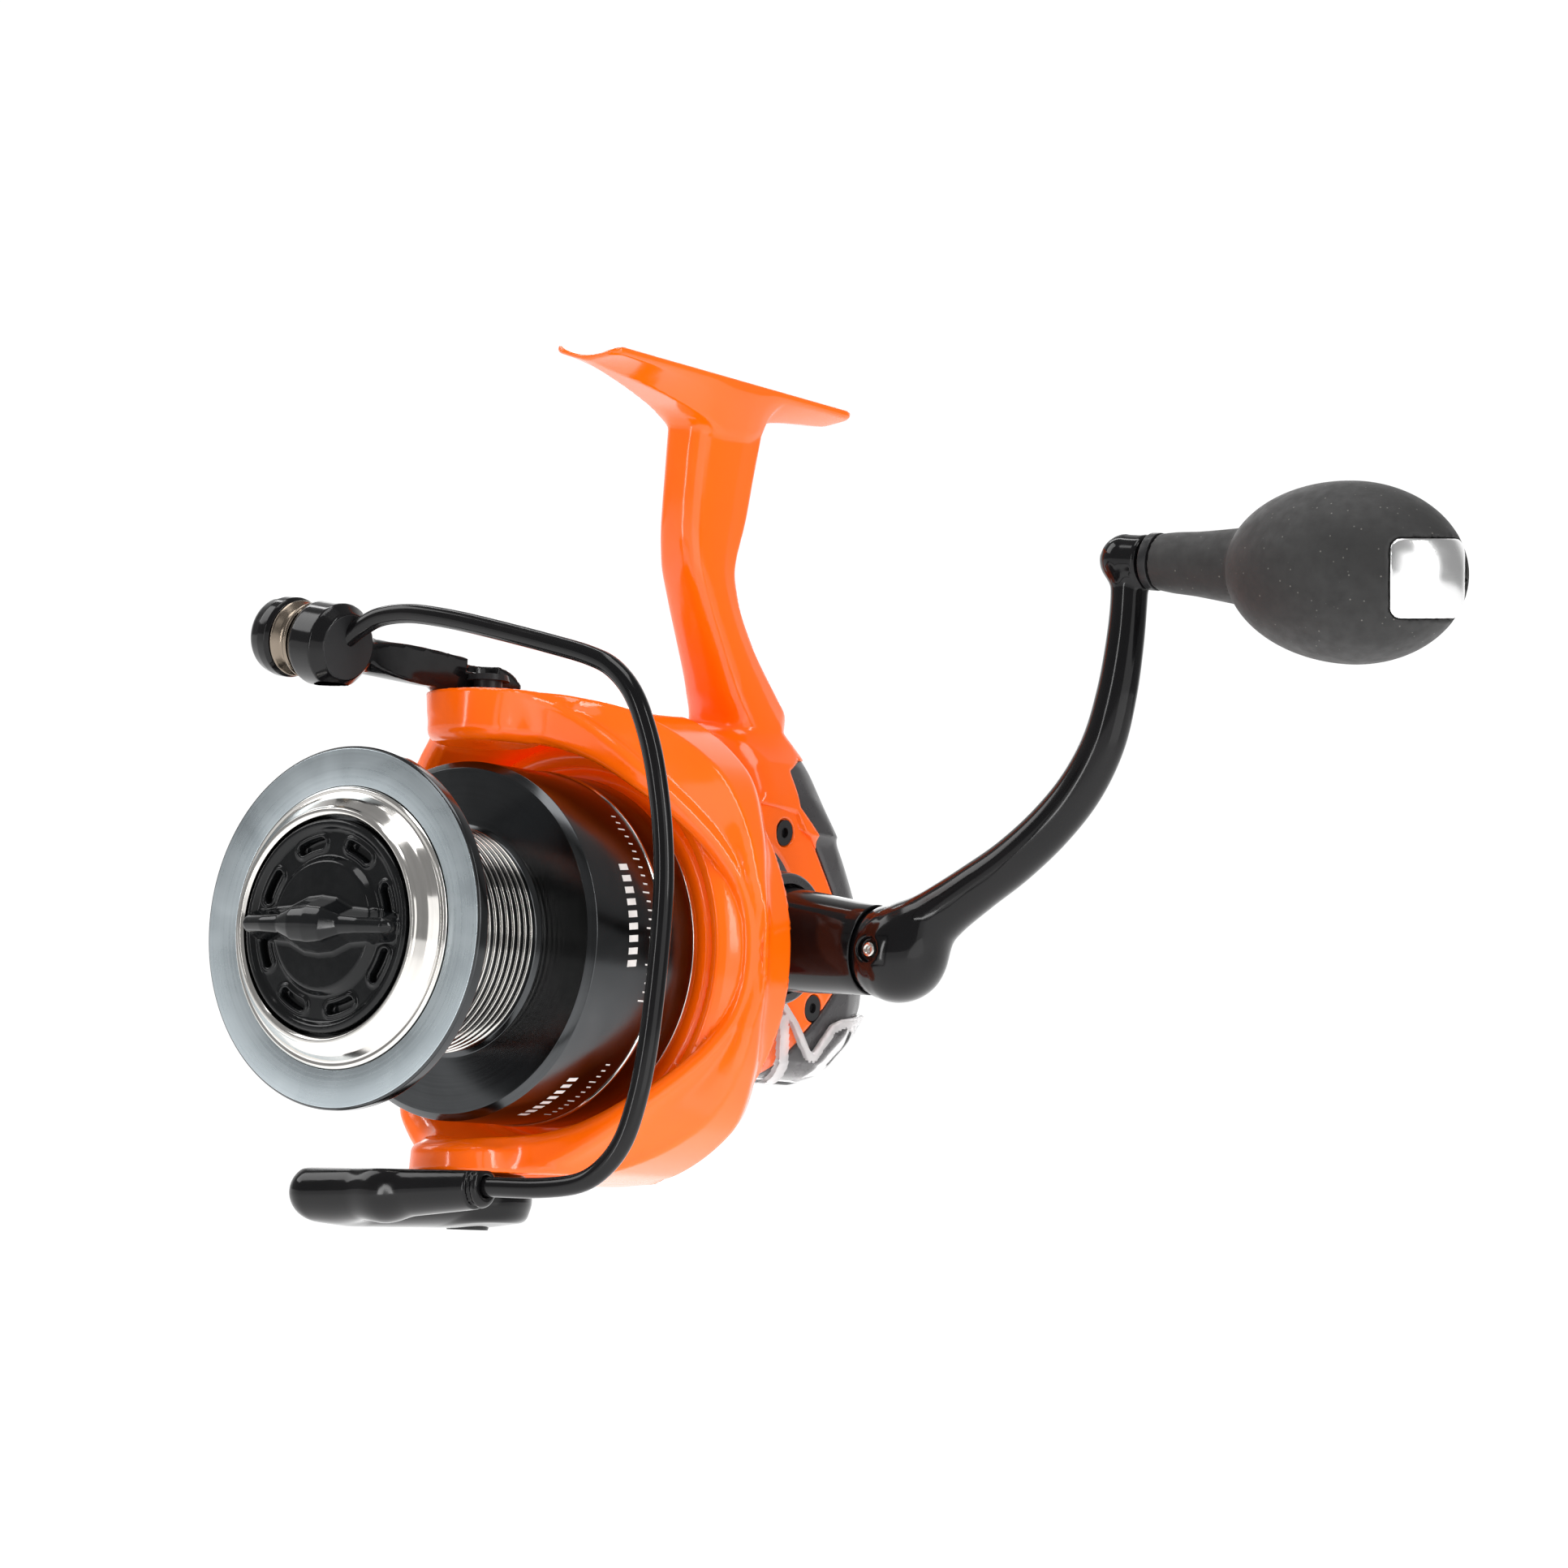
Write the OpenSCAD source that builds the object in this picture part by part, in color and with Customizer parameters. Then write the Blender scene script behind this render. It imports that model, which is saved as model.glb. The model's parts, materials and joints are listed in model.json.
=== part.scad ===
// Open-face spinning reel with a folding handle, in millimetres.
// The origin is the middle of the foot's rod seat, +Z points up out of the foot,
// the spool faces -Y and the handle is on the +X side.

/* [Spool] */
// Radius of the spool's front lip
lip_r = 28.5; // [27:0.1:29]
// Thickness of the lip at its edge
lip_t = 2.6; // [2:0.1:3]
// Radius of the arbor that the line is wound on
arbor_r = 18.2; // [16:0.1:20]
// Distance from the lip's face to the rear flange
flange_y = 26.8; // [25:0.1:28]
// Outer radius of the spool skirt
skirt_r = 29.0; // [28:0.1:29.4]
// Distance from the lip's face to the rear edge of the skirt
skirt_end_y = 54.1; // [52:0.1:54.3]
// Travel of the spool while the line is laid
stroke = 17; // [12:1:17]

/* [Rotor and bail] */
// Turn of the rotor about its axis in the rest pose, in degrees
rotor_turn = -6.6; // [-20:0.2:20]
// Distance from the lip's face to the bail's pivot axis
bail_y = 33; // [32:0.5:34]
// Radius of the round pads that the bail pivots on
pad_r = 9.5; // [8.5:0.5:10]
// Distance from the spool axis to the upper pad's face
pad_top = 40.5; // [39.5:0.1:41]
// Distance from the spool axis to the lower pad's face
pad_low = 37; // [36:0.1:38]
// Diameter of the bail wire
wire_d = 3.1; // [2.6:0.1:3.4]

/* [Handle] */
// Distance from the lip's face to the handle axis
handle_y = 80; // [79:0.5:81]
// Height of the handle axis above the spool axis
handle_z = 6.7; // [6.5:0.1:7.5]
// Distance from the middle plane to the fold pin
fold_x = 48.6; // [48:0.2:50]
// Height of the knob axis above the spool axis
knob_z = 73.2; // [70:0.2:76]
// Greatest radius of the knob
knob_r = 14.1; // [12:0.1:16]
// Teeth of the drive gear
gear_teeth = 44; // [44]
// Teeth of the pinion
pinion_teeth = 10; // [10]

/* [Body] */
// Height of the rod seat above the spool axis
seat_z = 97.8; // [92:0.1:104]
// Distance from the lip's face to the middle of the rod seat
seat_y = 74; // [70:0.5:78]
// Length of the foot
foot_l = 66; // [60:1:72]
// Width of the foot
foot_w = 14.4; // [13:0.2:17]
// Radius of the hollow that sits on the rod
seat_r = 14; // [12:0.5:20]

/* [Hidden] */
$fn = 64;

ORANGE = [1.0, 0.38, 0.05];
BLACK = [0.03, 0.03, 0.035];
SMOKE = [0.16, 0.16, 0.18];
STEEL = [0.75, 0.76, 0.78];
BRASS = [0.78, 0.62, 0.28];
GREY_BLUE = [0.33, 0.38, 0.42];
CLEAR = [0.8, 0.85, 0.9, 0.4];

fit = 0.05;             // radial clearance of a running fit
wall = 2.2;             // thickness of the housing's walls
body_left = -16;        // outer face of the housing
body_split = 13;        // plane where the side cover meets the housing
body_right = 17;        // outer face of the side cover
body_front = 64.4;      // front face of the nose
nose_r = 21.4;          // round nose behind the rotor
nose_end = 72;          // where the nose runs into the case
cover_y0 = 67;          // front edge of the side cover
collar_r = 16.3;        // dark collar round the handle
cavity_front = 69.2;    // front of the gear cavity
shaft_r = 2.5;          // main shaft
drive_r = 3.6;          // drive shaft
tube_x0 = 21.5;         // inner end of the handle tube
tube_x1 = 45;           // outer end of the handle tube
gear_x = 4.35;          // face of the drive gear's teeth
gear_r = 10.2;          // drive gear
web_y = 55;             // front face of the rotor's web
notch_y = 48.3;         // step behind the flats that the bail swings over
osc_y = 96;             // oscillation gear's axis
osc_z = 0.6;
osc_teeth = 23;
step_teeth = 11;        // small gear on the drive shaft
osc_pin_r = stroke / 2; // crank radius of the oscillation gear's pin

// ---- frames -------------------------------------------------------------

// Everything is drawn about the spool axis and then hung from the rod seat
module reel() translate([0, -seat_y, -seat_z]) children();
// The rotor's own frame, turned about the spool axis; its +Z runs along the bail's pivot
module rotor_frame() reel() rotate([0, rotor_turn, 0]) children();
// Turned parts: the profile's first number is the radius, its second runs along the axis
module turned_y(profile) rotate([-90, 0, 0]) rotate_extrude() polygon(profile);
module turned_x(profile) rotate([90, 0, 90]) rotate_extrude() polygon(profile);
module turned_z(profile) rotate_extrude() polygon(profile);
module rod_y(r, y0, y1) turned_y([[0, y0], [r, y0], [r, y1], [0, y1]]);
module rod_x(r, x0, x1) turned_x([[0, x0], [r, x0], [r, x1], [0, x1]]);
module ring_y(r0, r1, y0, y1) turned_y([[r0, y0], [r1, y0], [r1, y1], [r0, y1]]);
module ring_x(r0, r1, x0, x1) turned_x([[r0, x0], [r1, x0], [r1, x1], [r0, x1]]);
// A side view, with y across and z up, given a thickness from x0 to x1
module side_slab(points, x0, x1)
    translate([x0, 0, 0]) rotate([90, 0, 90]) linear_extrude(x1 - x0) polygon(points);
// A plan view, given a height from z0 to z1
module plan_slab(points, z0, z1) translate([0, 0, z0]) linear_extrude(z1 - z0) polygon(points);
// A front view, with x across and z up, given a depth from y0 to y1
module front_slab(points, y0, y1)
    translate([0, y1, 0]) rotate([90, 0, 0]) linear_extrude(y1 - y0) polygon(points);
module on_handle_axis() reel() translate([0, handle_y, handle_z]) children();
module on_knob_axis() reel() translate([0, handle_y, knob_z]) children();

// ---- curves and lofts ---------------------------------------------------

function unit(v) = v / norm(v);
function arc(cx, cy, r, a0, a1, n) =
    [for (i = [0:n]) let (a = a0 + (a1 - a0) * i / n) [cx + r * cos(a), cy + r * sin(a)]];
// Catmull-Rom curve through control rows of any width
function cr(p0, p1, p2, p3, t) =
    0.5 * ((2 * p1) + (p2 - p0) * t + (2 * p0 - 5 * p1 + 4 * p2 - p3) * t * t
           + (3 * p1 - p0 - 3 * p2 + p3) * t * t * t);
function smooth_rows(rows, steps) = let (n = len(rows)) [
    for (i = [0:n - 2]) for (k = [0:steps - 1])
        cr(rows[max(i - 1, 0)], rows[i], rows[i + 1], rows[min(i + 2, n - 1)], k / steps),
    rows[n - 1]
];
// A closed solid through rings of equal length, each counter-clockwise about the path
module skin(rings) {
    n = len(rings[0]);
    m = len(rings);
    sides = [for (j = [0:m - 2]) for (i = [0:n - 1]) let (k = (i + 1) % n) each
        [[j * n + i, (j + 1) * n + k, (j + 1) * n + i], [j * n + i, j * n + k, (j + 1) * n + k]]];
    caps = [[for (i = [n - 1:-1:0]) i], [for (i = [0:n - 1]) (m - 1) * n + i]];
    polyhedron([for (r = rings) each r], concat(sides, caps), convexity = 6);
}
// The same round a closed path
module skin_loop(rings) {
    n = len(rings[0]);
    m = len(rings);
    sides = [for (j = [0:m - 1]) for (i = [0:n - 1]) let (k = (i + 1) % n, l = (j + 1) % m) each
        [[j * n + i, l * n + k, l * n + i], [j * n + i, j * n + k, l * n + k]]];
    polyhedron([for (r = rings) each r], sides, convexity = 8);
}
// A tube along points that lie in one plane with normal w; each row is [point, half height, half width]
function tube_rings(path, w, sides) = [
    for (i = [0:len(path) - 1])
        let (a = path[max(i - 1, 0)][0], b = path[min(i + 1, len(path) - 1)][0])
        let (t = unit(b - a), u = cross(w, t))
        [for (k = [0:sides - 1]) let (s = 360 * k / sides)
            path[i][0] + u * path[i][1] * cos(s) - w * path[i][2] * sin(s)]
];
function reversed(v) = [for (i = [len(v) - 1:-1:0]) v[i]];

// ---- body ---------------------------------------------------------------

// Side view of the gear case: y, z
case_side = [
    [body_front, -16.5], [66.5, -18.2], [112, -18.2], [118, -16.6], [124.5, -12.5], [129, -6.5],
        [130.6, 0],
    [129, 6], [124.5, 13.5], [118, 21], [111, 28], [103, 35], [97, 39], [86, 39], [84, 30],
        [80, 24.5], [72, 22.2],
    [body_front, 21]
];
// Front view of the gear case: x, z
case_front = [
    [-16, -9], [-14.4, -13.5], [-11, -17], [-6, -18.4], [8, -18.4], [13, -17.4], [16, -14], [17, -9],
    [17, 24], [15.5, 31], [12, 36], [8, 39.2], [-7, 39.2], [-12, 36], [-15, 30], [-16, 22]
];
// Plan view of the gear case: x, y
case_plan = [
    [-16, 74], [-14.5, 68], [-12, 64], [12, 64], [15.5, 68], [17, 74], [17, 104], [15, 114], [11, 123],
    [6, 129], [0, 131], [-6, 129], [-11, 123], [-14.5, 114], [-16, 104]
];
module case_block(grow = 0)
    intersection() {
        side_slab(grown(case_side, grow, [95, 6]), body_left - 3, body_right + 3);
        front_slab(grown(case_front, grow, [0.5, 8]), 60, 136);
        plan_slab(grown(case_plan, grow, [0.5, 95]), -24, 44);
    }
// An outline moved outwards by about d from its middle
function grown(points, d, c) = d == 0 ? points : [for (p = points) p + d * unit(p - c)];

// The gear cavity, open towards the side cover
cavity_side = [
    [cavity_front, -15.6], [111, -15.6], [119, -12], [125, -6], [127, 0], [121, 12], [110, 24], [100, 32],
    [90, 32], [84, 24], [76, 20], [cavity_front, 19]
];
cavity_plan = [[-13.8, 60], [20, 60], [20, 108], [10, 121], [4, 127], [-4, 127], [-10, 121],
    [-13.8, 110]];
module cavity()
    intersection() {
        side_slab(cavity_side, body_left + wall, body_split + 10);
        plan_slab(cavity_plan, -24, 44);
    }

// Stem rows: height, front y, rear y, half width
stem_rows = smooth_rows([
    [30, 80, 113, 11], [38, 84.6, 106.5, 8.6], [46, 84.4, 98.2, 6.6], [54, 79.6, 90.6, 5.4],
        [62, 74.6, 84.4, 4.7],
    [70, 70.6, 82.4, 4.4], [80, 69.4, 83.6, 4.5], [90, 68.6, 83.9, 4.8], [95, 67.6, 84.6, 5.2],
        [97, 67, 85, 5.2]
], 2);
// One level of the stem: a rounded nose, widest two thirds of the way back, then a narrow rear facet
function stem_ring(row) =
    let (z = row[0], y0 = row[1], d = row[2] - row[1], w = row[3])
    [for (p = [
        [0.34, 0.02], [0.66, 0.10], [0.86, 0.26], [0.97, 0.46], [1.0, 0.66], [0.9, 0.86], [0.7, 1.0],
        [-0.7, 1.0], [-0.9, 0.86], [-1.0, 0.66], [-0.97, 0.46], [-0.86, 0.26], [-0.66, 0.10],
            [-0.34, 0.02]
    ]) [w * p[0], y0 + d * p[1], z]];

foot_y0 = seat_y - foot_l / 2;
foot_y1 = seat_y + foot_l / 2;
foot_rim = seat_z + seat_r - sqrt(seat_r * seat_r - foot_w * foot_w / 4);
// Side view of the foot: y, z
foot_side = [
    [foot_y0 - 2, 97.1], [foot_y0 + 2, 96.8], [foot_y0 + 10, 95.6], [foot_y0 + 20, 93.8],
        [66, 92.4],
    [72, 90.5], [82, 91.5], [86, 94.2], [92, 94.9], [foot_y1 - 4, 96], [foot_y1 - 0.8, 96.8],
    [foot_y1 + 2, 97.2], [foot_y1 + 2, foot_rim], [foot_y0 - 2, foot_rim]
];
// Front view of the foot: x, z
foot_front = [
    [-foot_w / 2, foot_rim], [-foot_w / 2, foot_rim - 1.5], [-5.6, 97], [-4.6, 92], [-4.4, 89], [4.4, 89],
    [4.6, 92], [5.6, 97], [foot_w / 2, foot_rim - 1.5], [foot_w / 2, foot_rim]
];
foot_corner = 3.6;         // radius of the foot's four corners, seen from above
foot_corner_x = foot_w / 2 + 0.5 - foot_corner;

module foot()
    difference() {
        intersection() {
            side_slab(foot_side, -foot_w / 2, foot_w / 2);
            front_slab(foot_front, foot_y0 - 1, foot_y1 + 1);
            plan_slab(concat(
                arc(foot_corner_x, foot_y1 - foot_corner, foot_corner, 0, 90, 6),
                arc(-foot_corner_x, foot_y1 - foot_corner, foot_corner, 90, 180, 6),
                arc(-foot_corner_x, foot_y0 + foot_corner, foot_corner, 180, 270, 6),
                arc(foot_corner_x, foot_y0 + foot_corner, foot_corner, 270, 360, 6)), 80, 104);
        }
        translate([0, foot_y0 - 5, seat_z + seat_r]) rotate([-90, 0, 0])
            cylinder(r = seat_r, h = foot_l + 10, $fn = 96);
    }

// Outline of the side cover: y, z
cover_side = [
    [cover_y0, -17], [72, -18.2], [92, -18.2], [98, -13], [101.5, -9], [107.5, -1.5], [107.5, 6],
        [104, 15.5],
    [98.5, 23], [94, 29.5], [83.8, 29.5], [80, 24.5], [72, 22.2], [cover_y0, 21]
];
// Region of the case that the rear cover takes over: y, z
rear_side = [
    [92.6, 40], [92.6, 34], [94.4, 29.6], [99, 23.1], [104.5, 15.6], [108, 6], [108, -1.6], [102, -9.2],
    [98.5, -13], [92.4, -18.8], [93, -24], [136, -24], [136, 44], [92.6, 44]
];
screw_spots = [[90, 24.6], [73, -12], [104, -4.5]];

module body_housing() color(ORANGE) reel() {
    left_boss();
    // post that the oscillation gear turns on
    translate([0, osc_y, osc_z]) rod_x(1.45, body_left + 1, -6.4);
    difference() {
        union() {
            difference() {
                case_block();
                side_slab([[60, -30], [140, -30], [140, 60], [60, 60]], body_split, body_right + 5);
                side_slab(rear_side, -30, 30);
            }
            difference() {
                rod_y(nose_r, body_front, nose_end);
                side_slab([[cover_y0, -30], [140, -30], [140, 60],
                    [cover_y0, 60]], body_split, nose_r + 1);
            }
            skin(reversed([for (r = stem_rows) stem_ring(r)]));
            foot();
        }
        cavity();
        // the nose is bored for the pinion's bearing and the pinion
        rod_y(8.05, body_front - 1, 68.05);
        rod_y(5.2, body_front - 1, 72);
        collar_zone();
        // left bearing seat opening and cap hole
        translate([0, handle_y, handle_z]) rod_x(5.2, body_left - 2, body_left + wall + 1);
    }
}

// Space of the dark collar round the handle, in the housing and the side cover alike
module collar_zone() translate([0, handle_y, handle_z]) {
    rod_x(collar_r + 0.2, body_right - 1.2, body_right + 6);
    rod_x(10.05, body_split - 1, body_right);
}
module left_boss() translate([0, handle_y, handle_z]) ring_x(7.05, 9.6, body_left + wall - 0.1, -10);

module side_cover() color(ORANGE) reel()
    difference() {
        intersection() {
            case_block();
            side_slab(cover_side, body_split + 0.02, body_right + 1);
        }
        // round recess that the dark collar sits in
        collar_zone();
        for (s = screw_spots) translate([0, s[0], s[1]]) {
            rod_x(2.4, body_right - 2.4, body_right + 2);
            rod_x(1.3, body_split - 1, body_right);
        }
    }

module rear_cover() color(SMOKE) reel()
    difference() {
        intersection() {
            case_block();
            translate([0, 0.25, 0]) side_slab(rear_side, -30, 30);
        }
        cavity();
        side_slab(cavity_side, body_split - 10, body_split + 1.6);
        side_slab([[88, 29.2], [95, 29.2], [99.4, 23.1], [105, 15.6], [108.4, 6], [108.4, -2],
            [102, -9.6], [88, -20]],
            body_split, body_right + 5);
        skin(reversed([for (r = stem_rows) stem_ring(r)]));
    }

// The clear guard wraps the lower rear corner of the body
guard_side = [
    [88.5, -24], [89.5, -8], [90, -1], [95, -3], [101, -11], [106, -6], [111, 0.5], [118, 3.6],
        [136, 3.6], [136, -24]
];
module rear_guard() color(CLEAR) reel()
    difference() {
        intersection() {
            case_block(1.5);
            side_slab(guard_side, -30, 30);
        }
        case_block(0.12);
    }

module hub_collar() color(SMOKE) on_handle_axis()
    difference() {
        turned_x([
            [7.05, body_split], [9.95, body_split], [9.95, body_right - 1.15], [collar_r, body_right - 1.15],
            [collar_r, body_right - 0.5], [13, body_right - 0.2], [11.8, body_right + 1.4], [11.4, 22],
            [11.0, 26.2], [10.6, 26.5], [9.3, 26.5], [9.3, 21.1], [4.2, 21.1], [4.2, body_right + 0.1], [7.05, body_right + 0.1]
        ]);
        // flat in line with the front of the nose
        translate([0, body_front - handle_y - 10, -20]) cube([30, 10, 40]);
    }

module body_screws() color(STEEL) reel()
    for (s = screw_spots) translate([0, s[0], s[1]]) difference() {
        union() {
            rod_x(1.2, 8, 15);
            rod_x(2.2, 14.7, 15.9);
        }
        rod_x(0.9, 15.1, 17);
    }

module handle_cap() color(BLACK) on_handle_axis()
    turned_x([
        [0, -21.5], [5, -21.4], [7.2, -20.6], [7.8, -19.4], [7.8, -16.1], [5.1, -16.1],
            [5.1, -14.2], [0, -14.2]
    ]);

module bearing_x(x0) turned_x([
    [drive_r + fit, x0], [4.9, x0], [4.9, x0 + 0.4], [6, x0 + 0.4], [6, x0], [7, x0], [7, x0 + 3.8],
        [6, x0 + 3.8],
    [6, x0 + 3.4], [4.9, x0 + 3.4], [4.9, x0 + 3.8], [drive_r + fit, x0 + 3.8]
]);
module shaft_bearing_right() color(STEEL) on_handle_axis() bearing_x(13.2);
module shaft_bearing_left() color(STEEL) on_handle_axis() bearing_x(-13.7);
module pinion_bearing() color(STEEL) reel()
    turned_y([
        [4.0, 64.6], [5.2, 64.6], [5.2, 65], [6.8, 65], [6.8, 64.6], [8, 64.6], [8, 68], [6.8, 68],
            [6.8, 67.6],
        [5.2, 67.6], [5.2, 68], [4.0, 68]
    ]);

module clutch_housing() color(STEEL) reel() difference() {
    turned_y([[6.4, 58.8], [14, 58.8], [15, 59.8], [15, 62.6], [18.5, 62.6], [18.5, 64.38],
        [6.4, 64.38]]);
    for (a = [45:90:315]) rotate([0, a, 0]) translate([16.8, 0, 0]) rod_y(1.1, 62, 65);
}

module slider_guide() color(STEEL) reel() translate([0, 0, -12.6]) rod_y(1.2, cavity_front + 0.02, 114.9);

// ---- handle drive -------------------------------------------------------

// A gear outline with flat-topped teeth and generous backlash
function gear_outline(teeth, root, tip) = [
    for (i = [0:teeth - 1]) let (p = 360 / teeth, a = i * p) each [
        root * [cos(a - 0.27 * p), sin(a - 0.27 * p)],
        tip * [cos(a - 0.12 * p), sin(a - 0.12 * p)],
        tip * [cos(a + 0.12 * p), sin(a + 0.12 * p)],
        root * [cos(a + 0.27 * p), sin(a + 0.27 * p)]
    ]
];
dedendum = 0.9;
addendum = 0.65;
osc_dist = sqrt((osc_y - handle_y) * (osc_y - handle_y) + (osc_z - handle_z) * (osc_z - handle_z));
osc_r = osc_dist * osc_teeth / (osc_teeth + step_teeth);
step_r = osc_dist - osc_r;
mesh_angle = atan2(osc_z - handle_z, osc_y - handle_y);

module drive_gear() color(BRASS) on_handle_axis()
    difference() {
        union() {
            turned_x([[0, gear_x + 1], [gear_r, gear_x + 1], [gear_r, gear_x + 3],
                [7, gear_x + 3.6], [5.6, gear_x + 4],
                [5.6, 12.9], [0, 12.9]]);
            // teeth on the inner face
            translate([gear_x + 0.25, 0, 0]) rotate([90, 0, 90]) linear_extrude(1)
                polygon(gear_outline(gear_teeth, gear_r - 1.8, gear_r - 0.1));
        }
        rod_x(drive_r + 0.01, gear_x - 1, 14);
        for (i = [0:5]) rotate([i * 60, 0, 0]) translate([0, 6.2, 0]) rod_x(0.8, gear_x - 1, gear_x + 5);
    }

module drive_shaft() color(STEEL) on_handle_axis() {
    rod_x(drive_r, -13.9, 30);
    // small gear that turns the oscillation gear
    translate([-9, 0, 0]) rotate([90, 0, 90]) linear_extrude(3)
        rotate(mesh_angle) polygon(gear_outline(step_teeth, step_r - dedendum, step_r + addendum));
}

// The tube grips the drive shaft; its outer end is a socket for the crank's ball
ball_r = 8.0;
module handle_tube() color(BLACK) on_handle_axis() {
    difference() {
        turned_x([
            [0, tube_x0], [8.0, tube_x0], [8.7, tube_x0 + 0.8], [8.8, tube_x0 + 3], [8.3, 33],
                [7.6, 42.5],
            [7.4, tube_x1], [0, tube_x1]
        ]);
        rod_x(drive_r, tube_x0 - 1, 30);
        translate([fold_x, 0, 0]) sphere(r = ball_r + 0.2, $fn = 96);
    }
    // tongue that the fold pin goes through
    difference() {
        union() {
            translate([38, -2.5, -3.6]) cube([fold_x - 38, 5, 7.2]);
            translate([fold_x, -2.5, 0]) rotate([-90, 0, 0]) cylinder(r = 3.6, h = 5);
        }
        translate([fold_x, -5, 0]) rotate([-90, 0, 0]) cylinder(r = 1.2 + fit, h = 10);
    }
}

// Crank centreline: x, z above the handle axis, half width in the plane, half thickness
crank_rows = smooth_rows([
    [50.6, 0.6, 6.9, 6.9], [54.6, 3.6, 6.3, 6.2], [59.6, 8.6, 4.9, 4.6], [65, 13.2, 4.1, 3.8],
        [72.6, 20.2, 3.9, 3.5],
    [79.2, 27.2, 3.9, 3.4], [83.6, 35.2, 3.8, 3.3], [85.5, 43.6, 3.6, 3.2], [86, 53, 3.3, 3.0],
        [85.9, 60, 3.1, 2.9],
    [85.2, knob_z - handle_z, 3.2, 3.2]
], 3);
module crank_arm() color(BLACK) on_handle_axis()
    difference() {
        union() {
            translate([fold_x, 0, 0]) turned_y(arc(0, 0, ball_r, -90, 90, 24));
            skin(tube_rings([for (r = crank_rows) [[r[0], 0, r[1]], r[2], r[3]]], [0, 1, 0], 20));
            translate([84.6, 0, knob_z - handle_z]) turned_x(concat(arc(0, 0, 4.2, -90, 22, 14),
                [[3.9, 3.8], [0, 3.8]]));
        }
        // slot for the tongue, wide enough for the fold
        translate([fold_x, 2.75, 0]) rotate([90, 0, 0]) linear_extrude(5.5) union() {
            circle(r = 4.1);
            polygon([
                [0, -4], [-20, -4], [-20, 4], [-20, 22], [0, 4.9], [2.9, 2.9], [4, 0]
            ]);
        }
        translate([fold_x, -12, 0]) rotate([-90, 0, 0]) cylinder(r = 1.2, h = 24);
        translate([fold_x, -12, 0]) rotate([-90, 0, 0]) cylinder(r = 2.0, h = 5.2);
        translate([fold_x, 6.8, 0]) rotate([-90, 0, 0]) cylinder(r = 2.0, h = 5.2);
        translate([0, 0, knob_z - handle_z]) rod_x(2.0, 82.6, 90);
    }

module fold_pin() color(STEEL) on_handle_axis() translate([fold_x, 0, 0])
    difference() {
        rod_y(1.2, -7.3, 7.3);
        rod_y(0.6, -8, -6.6);
    }

// ---- knob ---------------------------------------------------------------

knob_x0 = 91.2;          // inner end of the grip
egg_x0 = 106.3;          // where the neck meets the egg
egg_x1 = 146.2;          // outer end
egg_mid = 125.8;         // widest place
// Radius of the egg at a distance along the axis
function egg_r(x) = x < egg_mid
    ? knob_r * sqrt(max(0, 1 - pow((egg_mid - x) / (egg_mid - egg_x0 + 1.5), 2)))
    : knob_r * sqrt(max(0, 1 - pow((x - egg_mid) / (egg_x1 - egg_mid), 2)));
egg_steps = 28;
egg_profile = [for (i = [1:egg_steps]) let (x = egg_mid - (egg_mid - egg_x0)
    * cos(180 * i / egg_steps) * (i < egg_steps / 2 ? 1
    : (egg_x1 - egg_mid) / (egg_mid - egg_x0))) [egg_r(x), x]];

module knob_shaft() color(STEEL) on_knob_axis() {
    rod_x(2.0, 82.8, 139);
    rod_x(3.0, 136, 139);
}
module knob_bush() color(BRASS) on_knob_axis() ring_x(2.0 + fit, 3.4, 91.6, 135.6);
module knob_collar() color(BLACK) on_knob_axis()
    turned_x([[2.0 + fit, 89.2], [4.2, 89.2], [4.6, 89.6], [4.6, 90.9], [2.0 + fit, 90.9]]);

plate_l = 24;              // the knob's end plate, across
plate_w = 12.7;
plate_r = 3.4;             // and its corners

module knob_plate_zone(grow)
    rotate([90, 0, 90]) translate([0, 0, 120]) linear_extrude(40)
        polygon(concat(
            arc(plate_l / 2 - plate_r, plate_w / 2 - plate_r, plate_r + grow, 0, 90, 6),
            arc(plate_r - plate_l / 2, plate_w / 2 - plate_r, plate_r + grow, 90, 180, 6),
            arc(plate_r - plate_l / 2, plate_r - plate_w / 2, plate_r + grow, 180, 270, 6),
            arc(plate_l / 2 - plate_r, plate_r - plate_w / 2, plate_r + grow, 270, 360, 6)));

// The egg's outer half, smaller by so much in radius and in length
module knob_core(in_r, in_x, end_x)
    turned_x(concat([[0, 120]],
        [for (p = egg_profile) if (p[1] > 122) [max(p[0] - in_r, 0), p[1] - in_x]], [[0, end_x]]));

module knob_grip() color([0.12, 0.12, 0.125]) on_knob_axis()
    difference() {
        turned_x(concat(
            [[3.4, knob_x0], [4.5, knob_x0], [4.8, knob_x0 + 0.4], [5.0, 97], [5.5, 102],
                [6.1, egg_x0 + 0.6]],
            [for (p = egg_profile) if (p[0] > 6.2 || p[1] > egg_mid) p],
            [[0, 139.6], [3.4, 139.6]]));
        intersection() {
            knob_plate_zone(0.12);
            difference() {
                rod_x(30, 130, 150);
                knob_core(1.0, 0.9, 145.2);
            }
        }
    }

module knob_plate() color([0.85, 0.86, 0.88]) on_knob_axis()
    intersection() {
        knob_plate_zone(0);
        difference() {
            turned_x(concat([[0, 122]], [for (p = egg_profile) if (p[1] > 122) p], [[0, egg_x1]]));
            knob_core(0.9, 0.8, 145.3);
        }
    }

// ---- rotor --------------------------------------------------------------

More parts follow.
